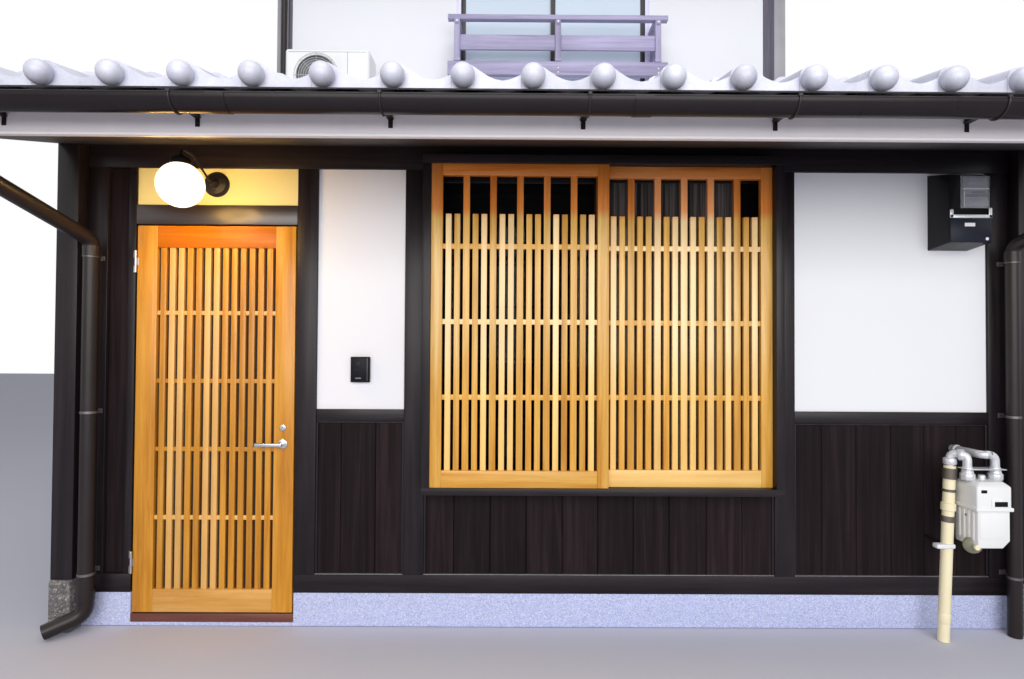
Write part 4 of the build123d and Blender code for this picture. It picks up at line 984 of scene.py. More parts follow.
# lipped tiles of the lowest course and the ball on each roll
def eaveCourse(name, front, baseZ, slope, node):
    t = tiles
    parts = []
    for ending, (section, columns, x) in zip(("_lips", "_verge_lip"), tileKinds()):
        lip = bentTile(name + ending, section, t["lipLength"], slope, t["lipBottom"])
        movePiece(lip, (0, 0, t["lipRise"]))
        repeat(lip, columns, (t["pitch"], 0, 0))
        movePiece(lip, (x, 0, 0))
        giveTones(lip, columns, 53)
        smoothFaces(lip, 38)
        parts.append(lip)
    balls = newPiece(name + "_balls")
    ballZ = t["crown"] - t["ballDrop"] - t["ballRadius"]
    places = [t["firstRoll"] + i * t["pitch"] for i in range(t["columns"])] + [t["vergeX"]]
    for x in places:
        bpy.ops.mesh.primitive_uv_sphere_add(segments=24, ring_count=14, radius=t["ballRadius"],
                                             location=(x, -t["ballReach"], ballZ),
                                             rotation=(math.pi / 2, 0, 0))
        addTurned((x, t["neckIn"], ballZ), (0, -1, 0), t["neck"], 24)
    closeMesh()
    giveTones(balls, len(places), 54)
    smoothFaces(balls, 40)
    piece = joined(*parts, balls)
    movePiece(piece, (0, front, baseZ))
    finish(piece, "tile", "silver_tile", [node])


def baseAt(y):
    return house["deckAtWall"] + house["tileBase"] + house["roofSlope"] * y


def mainBaseAt(distance):
    return house["mainDeckAtRidge"] + house["tileBase"] - house["mainSlope"] * distance


tileField("lower_tiles", house["eaveY"], baseAt(house["eaveY"]), house["roofSlope"], tiles["lowerStep"],
          tiles["lowerRows"], 0.0, "lower_roof_tiles")
eaveCourse("lower_eave", house["eaveY"], baseAt(house["eaveY"]), house["roofSlope"], "eave_tile_balls")
for name, out, turn in (("front_main_tiles", -1, 0.0), ("rear_main_tiles", 1, math.pi)):
    tileField(name, house["ridgeY"] + out * tiles["mainReach"], mainBaseAt(tiles["mainReach"]),
              house["mainSlope"], tiles["mainStep"], tiles["mainRows"], turn, "main_roof_tiles")
say("tiles")


# ridge and flashing
ridge = {
    "half": 0.15, "bottom": 7.16, "shoulder": 7.4705, "courses": 5, "step": 0.012, "length": 0.297,
    "shift": 0.12, "coreIn": 0.01, "courseGap": 0.002, "capSink": 0.01,
    "joint": 0.0008, "mortar": 0.05, "caps": 17, "capInset": 0.02, "capRadius": 0.088, "collarRadius": 0.0925,
    "collar": 0.04, "endDrop": 0.06, "endDisc": [(0, 0.135), (0.05, 0.135), (0.06, 0.125)], "endDepth": 0.055,
    "boss": [(0.0, 0.075), (0.0549, 0.075)],
}
flashing = {
    "wallGap": 0.001, "tileY": 2.63, "rise": 0.02, "shift": 0.1,
    "courses": ((0.168, 0.0, 0.062), (0.135, 0.064, 0.104), (0.115, 0.106, 0.146)),   # reach, low, high
    "strip": (0.020, 0.150, 0.205),
}


def courseBlocks(y0, y1, z0, z1, shift):
    length, left, right = ridge["length"], house["left"], house["right"]
    joints = [left] + [left + shift + length * i for i in range(1, 18)] + [right]
    joints = [x for x in joints if left <= x <= right]
    return [(a + ridge["joint"], b - ridge["joint"], y0, y1, z0, z1) for a, b in zip(joints, joints[1:])]


def ridgeTiles():
    r = ridge
    y, left, right = house["ridgeY"], house["left"], house["right"]
    crest = mainBaseAt(r["half"]) + r["mortar"]
    step = (r["shoulder"] - crest) / r["courses"]
    core = r["half"] - r["coreIn"]
    places = [(left, right, y - core, y + core, r["bottom"], crest)]
    for i in range(r["courses"]):
        reach = r["half"] - (i % 2) * r["step"]
        low, high = crest + i * step, crest + (i + 1) * step - r["courseGap"]
        places += courseBlocks(y - reach, y + reach, low, high, r["shift"] * (i % 2))
    courses = blockPiece("ridge_courses", places, 0.004, seed=61)
    width = (right - left - 2 * r["capInset"]) / r["caps"]
    rings = [(0.0, r["collarRadius"]), (r["collar"], r["collarRadius"]),
             (r["collar"] + 0.004, r["capRadius"]), (width - 0.001, r["capRadius"])]
    capZ = r["shoulder"] - r["capSink"]
    caps = turnedPiece("ridge_caps", [((left + r["capInset"] + width * i, y, capZ), (1, 0, 0), rings, 28)
                                      for i in range(r["caps"])])
    giveTones(caps, r["caps"], 62)
    ends = newPiece("ridge_ends")
    endZ = r["shoulder"] - r["endDrop"]
    for x, out in ((left, 1), (right, -1)):
        inner = x + out * r["endDepth"]
        addTurned((x, y, endZ), (out, 0, 0), r["endDisc"], 36)
        addTurned((inner, y, endZ), (-out, 0, 0), r["boss"], 32)
        addBlock(min(x, inner), max(x, inner), y - r["half"], y + r["half"], r["bottom"] + 0.01, endZ)
    closeMesh()
    giveTones(ends, 6, 63)
    easeEdges(ends, 0.006)
    smoothFaces(ends)
    finish(joined(courses, caps, ends), "tile", "silver_tile", ["main_roof_ridge"])


def wallFlashing():
    f = flashing
    left, right, wallY = house["innerLeft"], house["innerRight"], house["upperFront"] - f["wallGap"]
    crest = baseAt(f["tileY"]) + f["rise"]
    places = []
    for i, (reach, low, high) in enumerate(f["courses"]):
        rows = courseBlocks(wallY - reach, wallY, crest + low, crest + high, f["shift"] * (i % 2))
        places += [(max(a, left), min(b, right), *rest) for a, b, *rest in rows if b > left and a < right]
    finish(blockPiece("wall_courses", places, 0.004, seed=64), "tile", "silver_tile", ["lower_roof_flashing"])
    strip = newPiece("flashing_strip")
    depth, low, high = f["strip"]
    addBlock(left, right, wallY - depth, wallY, crest + low, crest + high)
    pickFaces(strip, lambda centre, normal: normal.z > 0.5)
    bpy.ops.transform.resize(value=(1, 0.2, 1), center_override=(0, wallY, 0))
    closeMesh()
    easeEdges(strip, 0.002)
    finish(strip, "galvanised", "silver_tile")


ridgeTiles()
wallFlashing()
say("ridge")


# gutters and downpipes
gutters = {
    "radius": 0.055, "wall": 0.003, "lowY": -0.953, "lowZ": 2.360, "mainZ": 5.730, "mainReach": 3.343,
    "joints": (-1.27, 0.28, 1.81), "sleeve": 0.035, "rim": 0.0045,
}
brackets = {
    "first": -2.190, "pitch": 0.757, "count": 7, "fasciaY": -0.80,
    "mainFirst": -2.2855, "mainPitch": 0.9142, "mainCount": 6, "mainOut": 0.118,
    "hookRadius": 0.0575, "hookWire": 0.004, "hookEnd": 0.0565, "hookRise": 0.004,
    "inner": 0.0545, "plateDepth": 0.004, "lugFaces": (0.0625, 0.0535),
    # half width, low and high
    "bar": (0.013, -0.018, -0.012), "plate": (0.009, -0.052, 0.006), "lug": (0.007, -0.002, 0.008),
}
pipes = {
    "runs": [([(-2.425, -0.953, 2.304), (-2.425, -0.953, 2.235), (-2.336, -0.08, 1.987),
               (-2.336, -0.08, 0.095), (-2.480, -0.17, 0.042)], 0.038, 0.05),
             ([(2.465, -0.953, 2.304), (2.465, -0.953, 2.235), (2.372, -0.08, 1.987), (2.372, -0.08, 0.0)],
              0.032, 0.05),
             ([(-2.44, 2.157, 5.675), (-2.44, 2.157, 5.605), (-2.44, 2.75, 5.345), (-2.44, 2.75, 3.733)],
              0.030, 0.05)],
    "sleeves": [(-2.336, -0.08, 1.90, 0.038), (-2.336, -0.08, 0.16, 0.038), (2.372, -0.08, 1.90, 0.032),
                (-2.44, 2.75, 5.22, 0.030), (-2.44, 2.75, 3.95, 0.030)],
    "outlets": [(-2.425, -0.953, 2.300, 0.046), (2.465, -0.953, 2.300, 0.040), (-2.44, 2.157, 5.670, 0.038)],
    "strapped": ((-2.336, 0.038), (2.372, 0.032)), "strapY": -0.08, "straps": (0.291, 1.105, 1.898),
    "strap": 0.013,
    # half width, low and high
    "stem": (0.004, 0.003, 0.009), "stemPlate": (0.016, -0.006, 0.018), "ear": (0.006, 0.0, 0.013),
    "stemPlateDepth": 0.003, "earDepth": 0.018,
}
mainGutterYs = [house["ridgeY"] - gutters["mainReach"], house["ridgeY"] + gutters["mainReach"]]


def halfRound(radius, steps):
    turns = [math.pi + math.pi * i / steps for i in range(steps + 1)]
    return [(math.cos(turn) * radius, math.sin(turn) * radius) for turn in turns]


def gutterStrip(name, y, z, radius, x0, x1):
    piece = newStrip(name, ((x0, 0, 0), (x1, 0, 0)),
                     [(0, y + across, z + up) for across, up in halfRound(radius, 18)])
    faceOut()
    closeMesh()
    modify(piece, "SOLIDIFY", thickness=gutters["wall"], offset=0)
    return piece


# half disc that closes the end of a gutter
def gutterEnd(name, y, z, x, out):
    radius = gutters["radius"] + 0.0015
    piece = newPiece(name)
    addTurned((x, y, z), (out, 0, 0), [(0, radius), (gutters["wall"], radius)], 36)
    bpy.ops.mesh.select_all(action="SELECT")
    bpy.ops.mesh.bisect(plane_co=(x, y, z + 0.001), plane_no=(0, 0, 1), use_fill=True, clear_outer=True)
    closeMesh()
    return piece


def rainGutters():
    g = gutters
    left, right = house["left"], house["right"]
    lines = [(g["lowY"], g["lowZ"])] + [(y, g["mainZ"]) for y in mainGutterYs]
    channels, rims = [], []
    for i, (y, z) in enumerate(lines):
        channels.append(gutterStrip("gutter_%d" % i, y, z, g["radius"] - 0.0015, left, right))
        for x in g["joints"]:
            x0, x1 = x - g["sleeve"], x + g["sleeve"]
            channels.append(gutterStrip("sleeve", y, z, g["radius"] + 0.001, x0, x1))
        channels.append(gutterEnd("end", y, z, left, 1))
        channels.append(gutterEnd("end", y, z, right, -1))
        for side in (-1, 1):
            edge = y + side * (g["radius"] - 0.0035)
            rims.append(([(left, edge, z - 0.001), (right, edge, z - 0.001)], g["rim"], 0))
    channel = joined(*channels)
    smoothFaces(channel, 30)
    finish(joined(channel, tubePiece("gutter_rims", rims, 3)), "gutter", "brown_gutter", ["gutters"])


# a bar to the wall with its plate, a lug at the rim and a hook round the gutter
def gutterBrackets():
    g, b = gutters, brackets
    rows = [(b["first"] + i * b["pitch"], g["lowY"], g["lowZ"], b["fasciaY"]) for i in range(b["count"])]
    for y, out in zip(mainGutterYs, (1, -1)):
        rows += [(b["mainFirst"] + i * b["mainPitch"], y, g["mainZ"], y + out * b["mainOut"])
                 for i in range(b["mainCount"])]
    places, routes = [], []
    for x, y, z, wall in rows:
        out = -1 if wall > y else 1
        outer, inner = (y - reach for reach in b["lugFaces"])
        places += blocksAbout(x, z, [(b["bar"], y - out * b["inner"], wall),
                                     (b["plate"], wall, wall + out * b["plateDepth"]),
                                     (b["lug"], outer, inner)])
        hook = [(x, y + across, z + up) for across, up in halfRound(b["hookRadius"], 12)]
        first, last = ((x, y + side * b["hookEnd"], z + b["hookRise"]) for side in (-1, 1))
        routes.append(([first] + hook + [last], b["hookWire"], 0))
    bars = blockPiece("gutter_bars", places, 0.001, seed=71, segments=1)
    finish(joined(bars, tubePiece("gutter_hooks", routes, 2)), "iron", "brown_gutter", ["gutter_brackets"])


def downPipes():
    p = pipes
    rounds = [((x, y, z), (0, 0, 1), bandRings(radius + 0.0005, 0.0025, 0.058, 0.002), 36)
              for x, y, z, radius in p["sleeves"]]
    rounds += [((x, y, z), (0, 0, -1), [(0, radius), (0.022, radius), (0.036, radius - 0.007)], 36)
               for x, y, z, radius in p["outlets"]]
    runs = tubePiece("pipe_runs", p["runs"], 7)
    finish(joined(runs, turnedPiece("pipe_sleeves", rounds)), "pipe", "brown_gutter", ["downpipes"])
    bands, places = [], []
    y, height = p["strapY"], p["strap"]
    for x, radius in p["strapped"]:
        back = y + radius
        for z in p["straps"]:
            bands.append(((x, y, z), (0, 0, 1), bandRings(radius + 0.0005, 0.0023, height, 0.0005), 36))
            places += blocksAbout(x, z, [(p["stem"], back, 0.0), (p["stemPlate"], -p["stemPlateDepth"], 0.0),
                                         (p["ear"], back, back + p["earDepth"])])
    bands = turnedPiece("strap_bands", bands)
    stems = blockPiece("strap_stems", places, 0.0008, seed=72, segments=1)
    finish(joined(bands, stems), "strap", "brown_gutter", ["pipe_straps"])


rainGutters()
gutterBrackets()
downPipes()
say("gutters and pipes")


# balcony details
balcony = {
    "front": 2.5, "back": 2.56, "left": -0.804, "right": 1.279,
    "posts": (-0.743, 0.213, 1.160), "post": 0.054, "bolt": [(0, 0.010), (0.004, 0.010), (0.007, 0.006)],
    # wider at each side by, out, low and high
    "footPlate": (0.004, 0.006, 4.166, 4.190), "headPlate": (-0.010, 0.008, 4.520, 4.562),
    "endPlate": (4.5635, 4.6085), "end": 0.012, "endReach": 0.003, "headBolt": 4.540,
    "footBolts": (4.10, 4.06),
}


def balconyDetails():
    b = balcony
    front, headFront = b["front"], b["front"] - b["headPlate"][1]
    plates = []
    for x in b["posts"]:
        for wider, out, low, high in (b["footPlate"], b["headPlate"]):
            plates.append((x - wider, x + b["post"] + wider, front - out, front, low, high))
    for x in (b["left"], b["right"] - b["end"]):
        plates.append((x, x + b["end"], front - b["endReach"], b["back"] + b["endReach"], *b["endPlate"]))
    finish(blockPiece("rail_plates", plates, 0.002, seed=81), "railTimber", "purple_brown_paint")
    bolts = []
    for x in b["posts"]:
        for y, z in [(headFront, b["headBolt"])] + [(front, z) for z in b["footBolts"]]:
            bolts.append(((x + b["post"] / 2, y, z), (0, -1, 0), b["bolt"], 16))
    finish(turnedPiece("rail_bolts", bolts), "satin", "purple_brown_paint")


balconyDetails()


# air conditioner
cooler = {
    "left": -2.269, "right": -1.500, "front": 2.33, "bottom": 3.645, "top": 4.185,
    "fanX": -1.984, "fanZ": 3.940, "fanRadius": 0.2, "hollow": (0.036, 0.0395),
    "blades": 3, "firstBlade": 20, "blade": (0.04, 0.185, 0.055), "bladeIn": (0.022, 0.026),
    "rings": 9, "innerRing": 0.03, "spokes": 8, "wire": 0.0022, "guardOut": 0.006,
    "sideSeam": -1.700, "topSeam": 0.031, "seam": 0.003, "seamFaces": (-0.0012, 0.001), "margin": 0.03,
    "cover": (-1.501, -1.478, 2.42, 2.57, 3.705, 3.885), "valves": (3.692, 3.669), "valveY": 2.52,
    "valve": [(0, 0.009), (0.016, 0.009), (0.017, 0.006), (0.03, 0.006)],
}


def coolerFan():
    c = cooler
    x, y, z = c["fanX"], c["front"], c["fanZ"]
    hollow = newPiece("cooler_hollow")
    near, far = c["hollow"]
    bpy.ops.mesh.primitive_cylinder_add(vertices=48, radius=c["fanRadius"] - 0.002, depth=far - near,
                                        location=(x, y + (near + far) / 2, z), rotation=(-math.pi / 2, 0, 0))
    closeMesh()
    smoothFaces(hollow)
    finish(hollow, "coolerDark", "cream_metal")
    blades = newPiece("cooler_blades")
    root, tip, half = c["blade"]
    near, far = c["bladeIn"]
    for i in range(c["blades"]):
        addBlock(x + root, x + tip, y + near, y + far, z - half, z + half)
        bpy.ops.transform.rotate(value=math.radians(360 / c["blades"] * i + c["firstBlade"]),
                                 orient_axis="Y", center_override=(x, y, z))
    closeMesh()
    easeEdges(blades, 0.0018)
    finish(blades, "coolerDark", "cream_metal")
    guardY = y - c["guardOut"]
    routes = []
    for i in range(c["rings"]):
        radius = c["innerRing"] + (c["fanRadius"] - 0.028) * i / (c["rings"] - 1)
        routes.append((ringRoute(Vector((x, guardY, z)), radius), c["wire"], 0))
    centre = Vector((x, guardY + 0.003, z))
    for i in range(c["spokes"]):
        turn = 2 * math.pi * i / c["spokes"]
        out = Vector((math.cos(turn), 0, math.sin(turn)))
        spoke = [centre + out * radius for radius in (c["innerRing"], c["fanRadius"] + 0.004)]
        routes.append((spoke, c["wire"], 0))
    finish(tubePiece("cooler_guard", routes, 1), "guard", "cream_metal")


def airConditioner():
    c = cooler
    right, bottom, top, margin, seam = c["right"], c["bottom"], c["top"], c["margin"], c["seam"]
    finish(easedCopy("air_conditioner", "cooler_case", 0.004, 20), "coolerWhite", "cream_metal",
           ["air_conditioner"])
    coolerFan()
    near, far = (c["front"] + depth for depth in c["seamFaces"])
    under = top - c["topSeam"]
    seams = [(c["sideSeam"], c["sideSeam"] + seam, near, far, bottom + margin, top - margin),
             (c["left"] + margin, right - margin, near, far, under - seam, under)]
    finish(blockPiece("cooler_seams", seams, 0, seed=82), "coolerDark", "cream_metal")
    finish(blockPiece("cooler_cover", [c["cover"]], 0.006, seed=83), "coolerWhite", "cream_metal")
    valves = [((right - 0.002, c["valveY"], z), (1, 0, 0), c["valve"], 16) for z in c["valves"]]
    finish(turnedPiece("cooler_valves", valves), "palePipe", "cream_metal")


airConditioner()
say("balcony and cooler")


# porch lamp
lamp = {
    "x": -1.748, "z": 2.300, "reach": -0.34, "globeZ": 2.203, "globe": 0.105, "wall": 0.015,
    "rose": [(0, 0.066), (0.008, 0.066), (0.014, 0.058), (0.022, 0.054), (0.028, 0.040), (0.030, 0.026),
             (0.040, 0.018), (0.058, 0.014)],
    "screws": (0.6, 2.7, 4.8), "screwCircle": 0.036, "screw": [(0, 0.006), (0.006, 0.006), (0.008, 0.003)],
    "capRise": 0.034, "cap": [(0, 0.012), (0.004, 0.018), (0.010, 0.022), (0.014, 0.040), (0.022, 0.045),
                              (0.044, 0.045), (0.048, 0.041)],
    "wire": 0.0055, "bend": 0.03, "armOut": (0.014, 0.088), "armRise": 0.035, "armSlope": 0.11,
    "armEnd": 0.01, "globeRings": 20,
}


def porchLamp():
    x, z, wall, reach = lamp["x"], lamp["z"], lamp["wall"], lamp["reach"]
    capTop = lamp["globeZ"] + lamp["globe"] + lamp["capRise"]
    parts = [((x, wall, z), (0, -1, 0), lamp["rose"], 48)]
    for turn in lamp["screws"]:
        across, up = math.cos(turn) * lamp["screwCircle"], math.sin(turn) * lamp["screwCircle"]
        parts.append(((x + across, wall - 0.024, z + up), (0, -1, 0), lamp["screw"], 16))
    parts.append(((x, reach, capTop), (0, 0, -1), lamp["cap"], 48))
    bracket = turnedPiece("lamp_stem_parts", parts)
    top = capTop + lamp["armRise"]
    route = [(x, wall - out, z) for out in lamp["armOut"]]
    route += [(x, reach + lamp["armSlope"], top), (x, reach, top), (x, reach, capTop - lamp["armEnd"])]
    arm = tubePiece("lamp_arm", [(route, lamp["wire"], lamp["bend"])], 6)
    finish(joined(bracket, arm), "iron", "black_iron", ["lamp_bracket"])
    rings = []
    for i in range(lamp["globeRings"] + 1):
        turn = math.pi * (0.06 + 0.94 * i / lamp["globeRings"])
        rings.append((-math.cos(turn) * lamp["globe"], max(math.sin(turn) * lamp["globe"], 0.0008)))
    globe = turnedPiece("lit_globe", [((x, reach, lamp["globeZ"]), (0, 0, -1), rings, 48)], 60)
    finish(globe, "globe", "milk_glass", ["lamp_globe"])


porchLamp()


# plates on a front: name, look, edge, seed, segments, then x0, x1, z0, z1 and both faces' way in from it
def platePieces(front, slot, rows):
    for name, look, edge, seed, segments, *plates in rows:
        places = [(x0, x1, front + near, front + far, z0, z1) for x0, x1, z0, z1, near, far in plates]
        finish(blockPiece(name, places, edge, seed, segments), look, slot)


# doorphone
phone = {
    "front": -0.015,
    "body": [(-1.031, -0.932, -0.009, 0.015, 1.266, 1.399), (-1.027, -0.936, -0.015, -0.007, 1.270, 1.395)],
    "lens": ((-0.990, -0.0145, 1.362), (0, -1, 0),
             [(0, 0.0105), (0.0020, 0.0105), (0.0024, 0.0085), (0.0010, 0.0080)], 32),
    "slots": 9, "slotLeft": -1.011, "slotPitch": 0.0045, "slot": 0.0022,
    "slotSpan": (1.326, 1.334, -0.0006, 0.001),
    "trims": [("phone_button", "greyPlastic", 0.0015, 93, 2, (-1.005, -0.974, 1.284, 1.291, -0.0008, 0.001)),
              ("phone_edge", "greyPlastic", 0.0008, 94, 2, (-0.944, -0.9415, 1.272, 1.393, -0.0006, 0.001))],
}


def doorPhone():
    p = phone
    finish(blockPiece("phone_body", p["body"], 0.0035, seed=91, segments=3), "blackPlastic", "black_plastic",
           ["doorphone"])
    finish(turnedPiece("phone_lens", [p["lens"]]), "bluePlastic", "black_plastic")
    lefts = [p["slotLeft"] + p["slotPitch"] * i for i in range(p["slots"])]
    slots = [(x, x + p["slot"], *p["slotSpan"]) for x in lefts]
    slots = ("phone_slots", "bluePlastic", 0.0005, 92, 1, *slots)
    platePieces(p["front"], "black_plastic", [slots] + p["trims"])


# electric meter box
meterBox = {
    "front": -0.145, "window": (2.0585, 2.2055, -0.148, -0.1455, 2.1645, 2.3285),
    "screw": ((2.188, -0.1505, 2.010), (0, -1, 0), [(0, 0.008), (0.0025, 0.008), (0.004, 0.0055)], 20),
    "inner": [("meter_inside", "greyPlastic", 0.003, 93, 2, (2.078, 2.204, 2.170, 2.322, 0.006, 0.0175),
               (2.098, 2.170, 2.286, 2.312, 0.002, 0.008), (2.088, 2.203, 2.176, 2.214, 0.001, 0.008)),
              ("meter_shadows", "blackPlastic", 0.001, 94, 1, (2.084, 2.204, 2.224, 2.236, 0.003, 0.008),
               (2.120, 2.190, 2.242, 2.252, 0.002, 0.008), (2.060, 2.078, 2.170, 2.322, 0.004, 0.0175)),
              ("meter_lines", "whitePlastic", 0.0006, 95, 1, (2.076, 2.205, 2.262, 2.2665, 0.0002, 0.006),
               (2.080, 2.083, 2.172, 2.250, 0.0002, 0.006))],
    "outer": [("meter_trim", "silver", 0.003, 96, 3, (2.002, 2.214, 2.114, 2.132, -0.0085, -0.0035),
               (2.002, 2.019, 2.114, 2.158, -0.0085, -0.0035),
               (2.197, 2.214, 2.114, 2.166, -0.0085, -0.0035)),
              ("meter_cover", "bluePlastic", 0.0012, 96, 2, (2.005, 2.211, 1.994, 2.113, -0.006, -0.003)),
              ("meter_blank_label", "whitePlastic", 0.0006, 97, 1,
               (2.076, 2.128, 2.072, 2.090, -0.0072, -0.0055))],
}


def electricMeter():
    m = meterBox
    platePieces(m["front"], "black_plastic", m["inner"])
    pane = newPiece("meter_window")
    addBlock(*m["window"])
    closeMesh()
    easeEdges(pane, 0.001, 1)
    finish(pane, "clear", "black_plastic")
    platePieces(m["front"], "black_plastic", m["outer"])
    finish(turnedPiece("meter_screw", [m["screw"]]), "whitePlastic", "black_plastic")


# gas meter
gasMeter = {
    "front": -0.26, "middle": -0.18, "upper": (2.045, 2.213, -0.26, -0.10, 0.688, 0.815),
    "lower": (2.053, 2.209, -0.254, -0.10, 0.497, 0.681), "upperChamfer": 0.022, "lowerChamfer": 0.034,
    "chamferFrom": (2.120, 0.498), "ledge": (2.039, 2.219, -0.266, -0.10, 0.676, 0.695),
    "ribs": 4, "ribPitch": 0.030, "rib": 0.016, "ribX": (2.0495, 2.055), "ribZ": (0.527, 0.668),
    "drain": ((2.065, -0.200, 0.499), (-0.55, -0.83, 0),
              [(-0.026, 0.022), (-0.024, 0.036), (0.004, 0.040), (0.014, 0.037), (0.022, 0.026),
               (0.025, 0.014)], 36),
    "knob": ((2.057, -0.235, 0.500), (-0.3, -0.95, 0), [(0, 0.013), (0.014, 0.013), (0.018, 0.010)], 24),
    "boss": ((2.0535, -0.175, 0.640), (-1, 0, 0), [(0, 0.006), (0.002, 0.006), (0.003, 0.004)], 20),
    "counter": [("gas_counter", "blackPlastic", 0.0014, 99, 2,
                 (2.124, 2.186, 0.7010, 0.7250, -0.0085, -0.004),
                 (2.064, 2.092, 0.764, 0.779, -0.0025, 0.0015))],
    "cover": (2.112, 2.198, -0.2665, -0.256, 0.694, 0.732),
    "panel": [("gas_panel", "cream", 0.006, 100, 3, (2.060, 2.190, 0.545, 0.668, 0.0030, 0.008))],
}


def gasMeterPiece():
    g = gasMeter
    case = newPiece("gas_case")
    addBlock(*g["upper"])
    pickFaces(case, lambda centre, normal: normal.z > 0.5)
    bpy.ops.mesh.bevel(offset=g["upperChamfer"], segments=1, affect="EDGES")
    addBlock(*g["lower"])
    x, z = g["chamferFrom"]
    pickPoints(case, lambda place: place.z < z and place.x > x)
    bpy.ops.mesh.bevel(offset=g["lowerChamfer"], segments=1, affect="EDGES")
    closeMesh()
    modify(case, "TRIANGULATE")
    easeEdges(case, 0.008, 3, 20)
    fronts = [g["front"] + g["ribPitch"] * (i + 1) for i in range(g["ribs"])]
    ribs = [(*g["ribX"], y, y + g["rib"], *g["ribZ"]) for y in fronts]
    ribs = blockPiece("gas_ribs", ribs, 0.0026, seed=97, segments=3)
    shelf = blockPiece("gas_ledge", [g["ledge"]], 0.005, seed=98, segments=3)
    case = joined(case, ribs, shelf)
    smoothFaces(case)
    finish(case, "cream", "cream_metal", ["gas_meter"])
    finish(turnedPiece("gas_drain", [g["drain"]]), "drain", "cream_metal", ["gas_meter"])
    finish(turnedPiece("gas_knob", [g["knob"]]), "ivory", "cream_metal")
    platePieces(g["front"], "black_plastic", g["counter"])
    cover = newPiece("gas_cover")
    addBlock(*g["cover"])
    pickFaces(cover, lambda centre, normal: normal.y < -0.5)
    bpy.ops.mesh.inset(thickness=0.007, depth=-0.0015)
    closeMesh()
    easeEdges(cover, 0.002)
    smoothFaces(cover)
    finish(cover, "cream", "cream_metal")
    platePieces(g["front"], "cream_metal", g["panel"])
    finish(turnedPiece("gas_bosses", [g["boss"]]), "greyPlastic", "cream_metal")


# gas pipes
piping = {
    "inlet": 2.058, "outlet": 2.195, "away": 2.130, "loop": 0.935, "pipe": 0.0195,
    "foot": 1.971, "top": 2.009, "y": -0.128, "radius": 0.027, "riserHeight": 0.872,
    "lean": 0.038 / 0.874,   # the riser's way to the right for each metre up
    "sleeves": ((0.648, 0.040, 0.006), (0.090, 0.050, 0.0015)),   # place up, length and how far proud
    "clamps": ((0.742, 0.014, 0.0035), (0.592, 0.030, 0.0035), (0.806, 0.054, 0.006)),
    "strap": (1.920, 2.012, -0.164, -0.124, 0.466, 0.488),
    "strapStem": (1.982, 1.998, -0.126, 0.02, 0.470, 0.484),
    "bar": (2.030, 2.226, -0.216, -0.150, 0.866, 0.870),
    "meterNut": [(0, 0.030), (0.006, 0.033), (0.030, 0.033), (0.036, 0.027), (0.048, 0.025)],
    "meterCollar": [(0, 0.023), (0.018, 0.023), (0.022, 0.0195)], "nutZ": 0.812, "collarZ": 0.856,
    "riserCap": [(0, 0.026), (0.003, 0.030), (0.030, 0.030), (0.034, 0.024)], "riserCapZ": 0.878,
    "plug": ((2.128, -0.18, 0.812), (0, 0, 1), [(0, 0.016), (0.022, 0.016), (0.026, 0.012)], 24),
}


# rings round the leaning riser
def riserBands(rows, ease):
    p = piping
    return [((p["foot"] + p["lean"] * z, p["y"], z), (p["lean"], 0, 1),
             bandRings(p["radius"], proud, length, ease), 32) for z, length, proud in rows]


def gasPiping():
    p = piping
    y, loop, middle = p["y"], p["loop"], gasMeter["middle"]
    route = [(p["foot"], y, 0.0), (p["top"], y, p["riserHeight"])]
    riser = tubePiece("gas_riser", [(route, p["radius"], 0)], 8)
    sleeves = turnedPiece("gas_sleeves", riserBands(p["sleeves"], 0.003))
    finish(joined(riser, sleeves), "ivory", "pipe_ivory", ["gas_pipes"])
    finish(blockPiece("gas_strap", [p["strap"]], 0.006, seed=101, segments=3), "whitePlastic", "pipe_ivory",
           ["gas_pipes"])
    finish(blockPiece("gas_strap_stem", [p["strapStem"]], 0.003, seed=103), "pipe", "pipe_ivory")
    finish(turnedPiece("gas_clamps", riserBands(p["clamps"], 0.001)), "clamp", "pipe_ivory")
    inlet = [(p["top"], y, 0.86), (p["top"], y, loop), (p["inlet"], middle, loop), (p["inlet"], middle, 0.82)]
    outlet = [(p["outlet"], middle, 0.82), (p["outlet"], middle, loop), (p["away"], middle, loop),
              (p["away"], 0.02, loop)]
    bends = tubePiece("gas_bends", [(inlet, p["pipe"], 0.030), (outlet, p["pipe"], 0.034)], 7)
    nuts = newPiece("gas_nuts")
    up = (0, 0, 1)
    for x in (p["inlet"], p["outlet"]):
        addTurned((x, middle, p["nutZ"]), up, p["meterNut"], 8)
        addTurned((x, middle, p["collarZ"]), up, p["meterCollar"], 28)
    for centre, axis in (((p["away"], -0.02, loop), (0, 1, 0)), ((2.030, -0.150, loop), (0.75, -0.66, 0))):
        addTurned(centre, axis, bandRings(0.021, 0.003, 0.020, 0.002), 24)
    addTurned((p["top"], y, p["riserCapZ"]), up, p["riserCap"], 28)
    addTurned((2.034, -0.154, loop - 0.004), (0.7, -0.7, 0), bandRings(0.024, 0.005, 0.024, 0.002), 8)
    addTurned(*p["plug"])
    closeMesh()
    easeEdges(nuts, 0.0015, 1)
    smoothFaces(nuts)
    bar = blockPiece("gas_bar", [p["bar"]], 0.0016, seed=102)
    finish(joined(bends, nuts, bar), "palePipe", "pipe_ivory", ["gas_pipes"])


doorPhone()
electricMeter()
gasMeterPiece()
gasPiping()
say("boxes and meters")


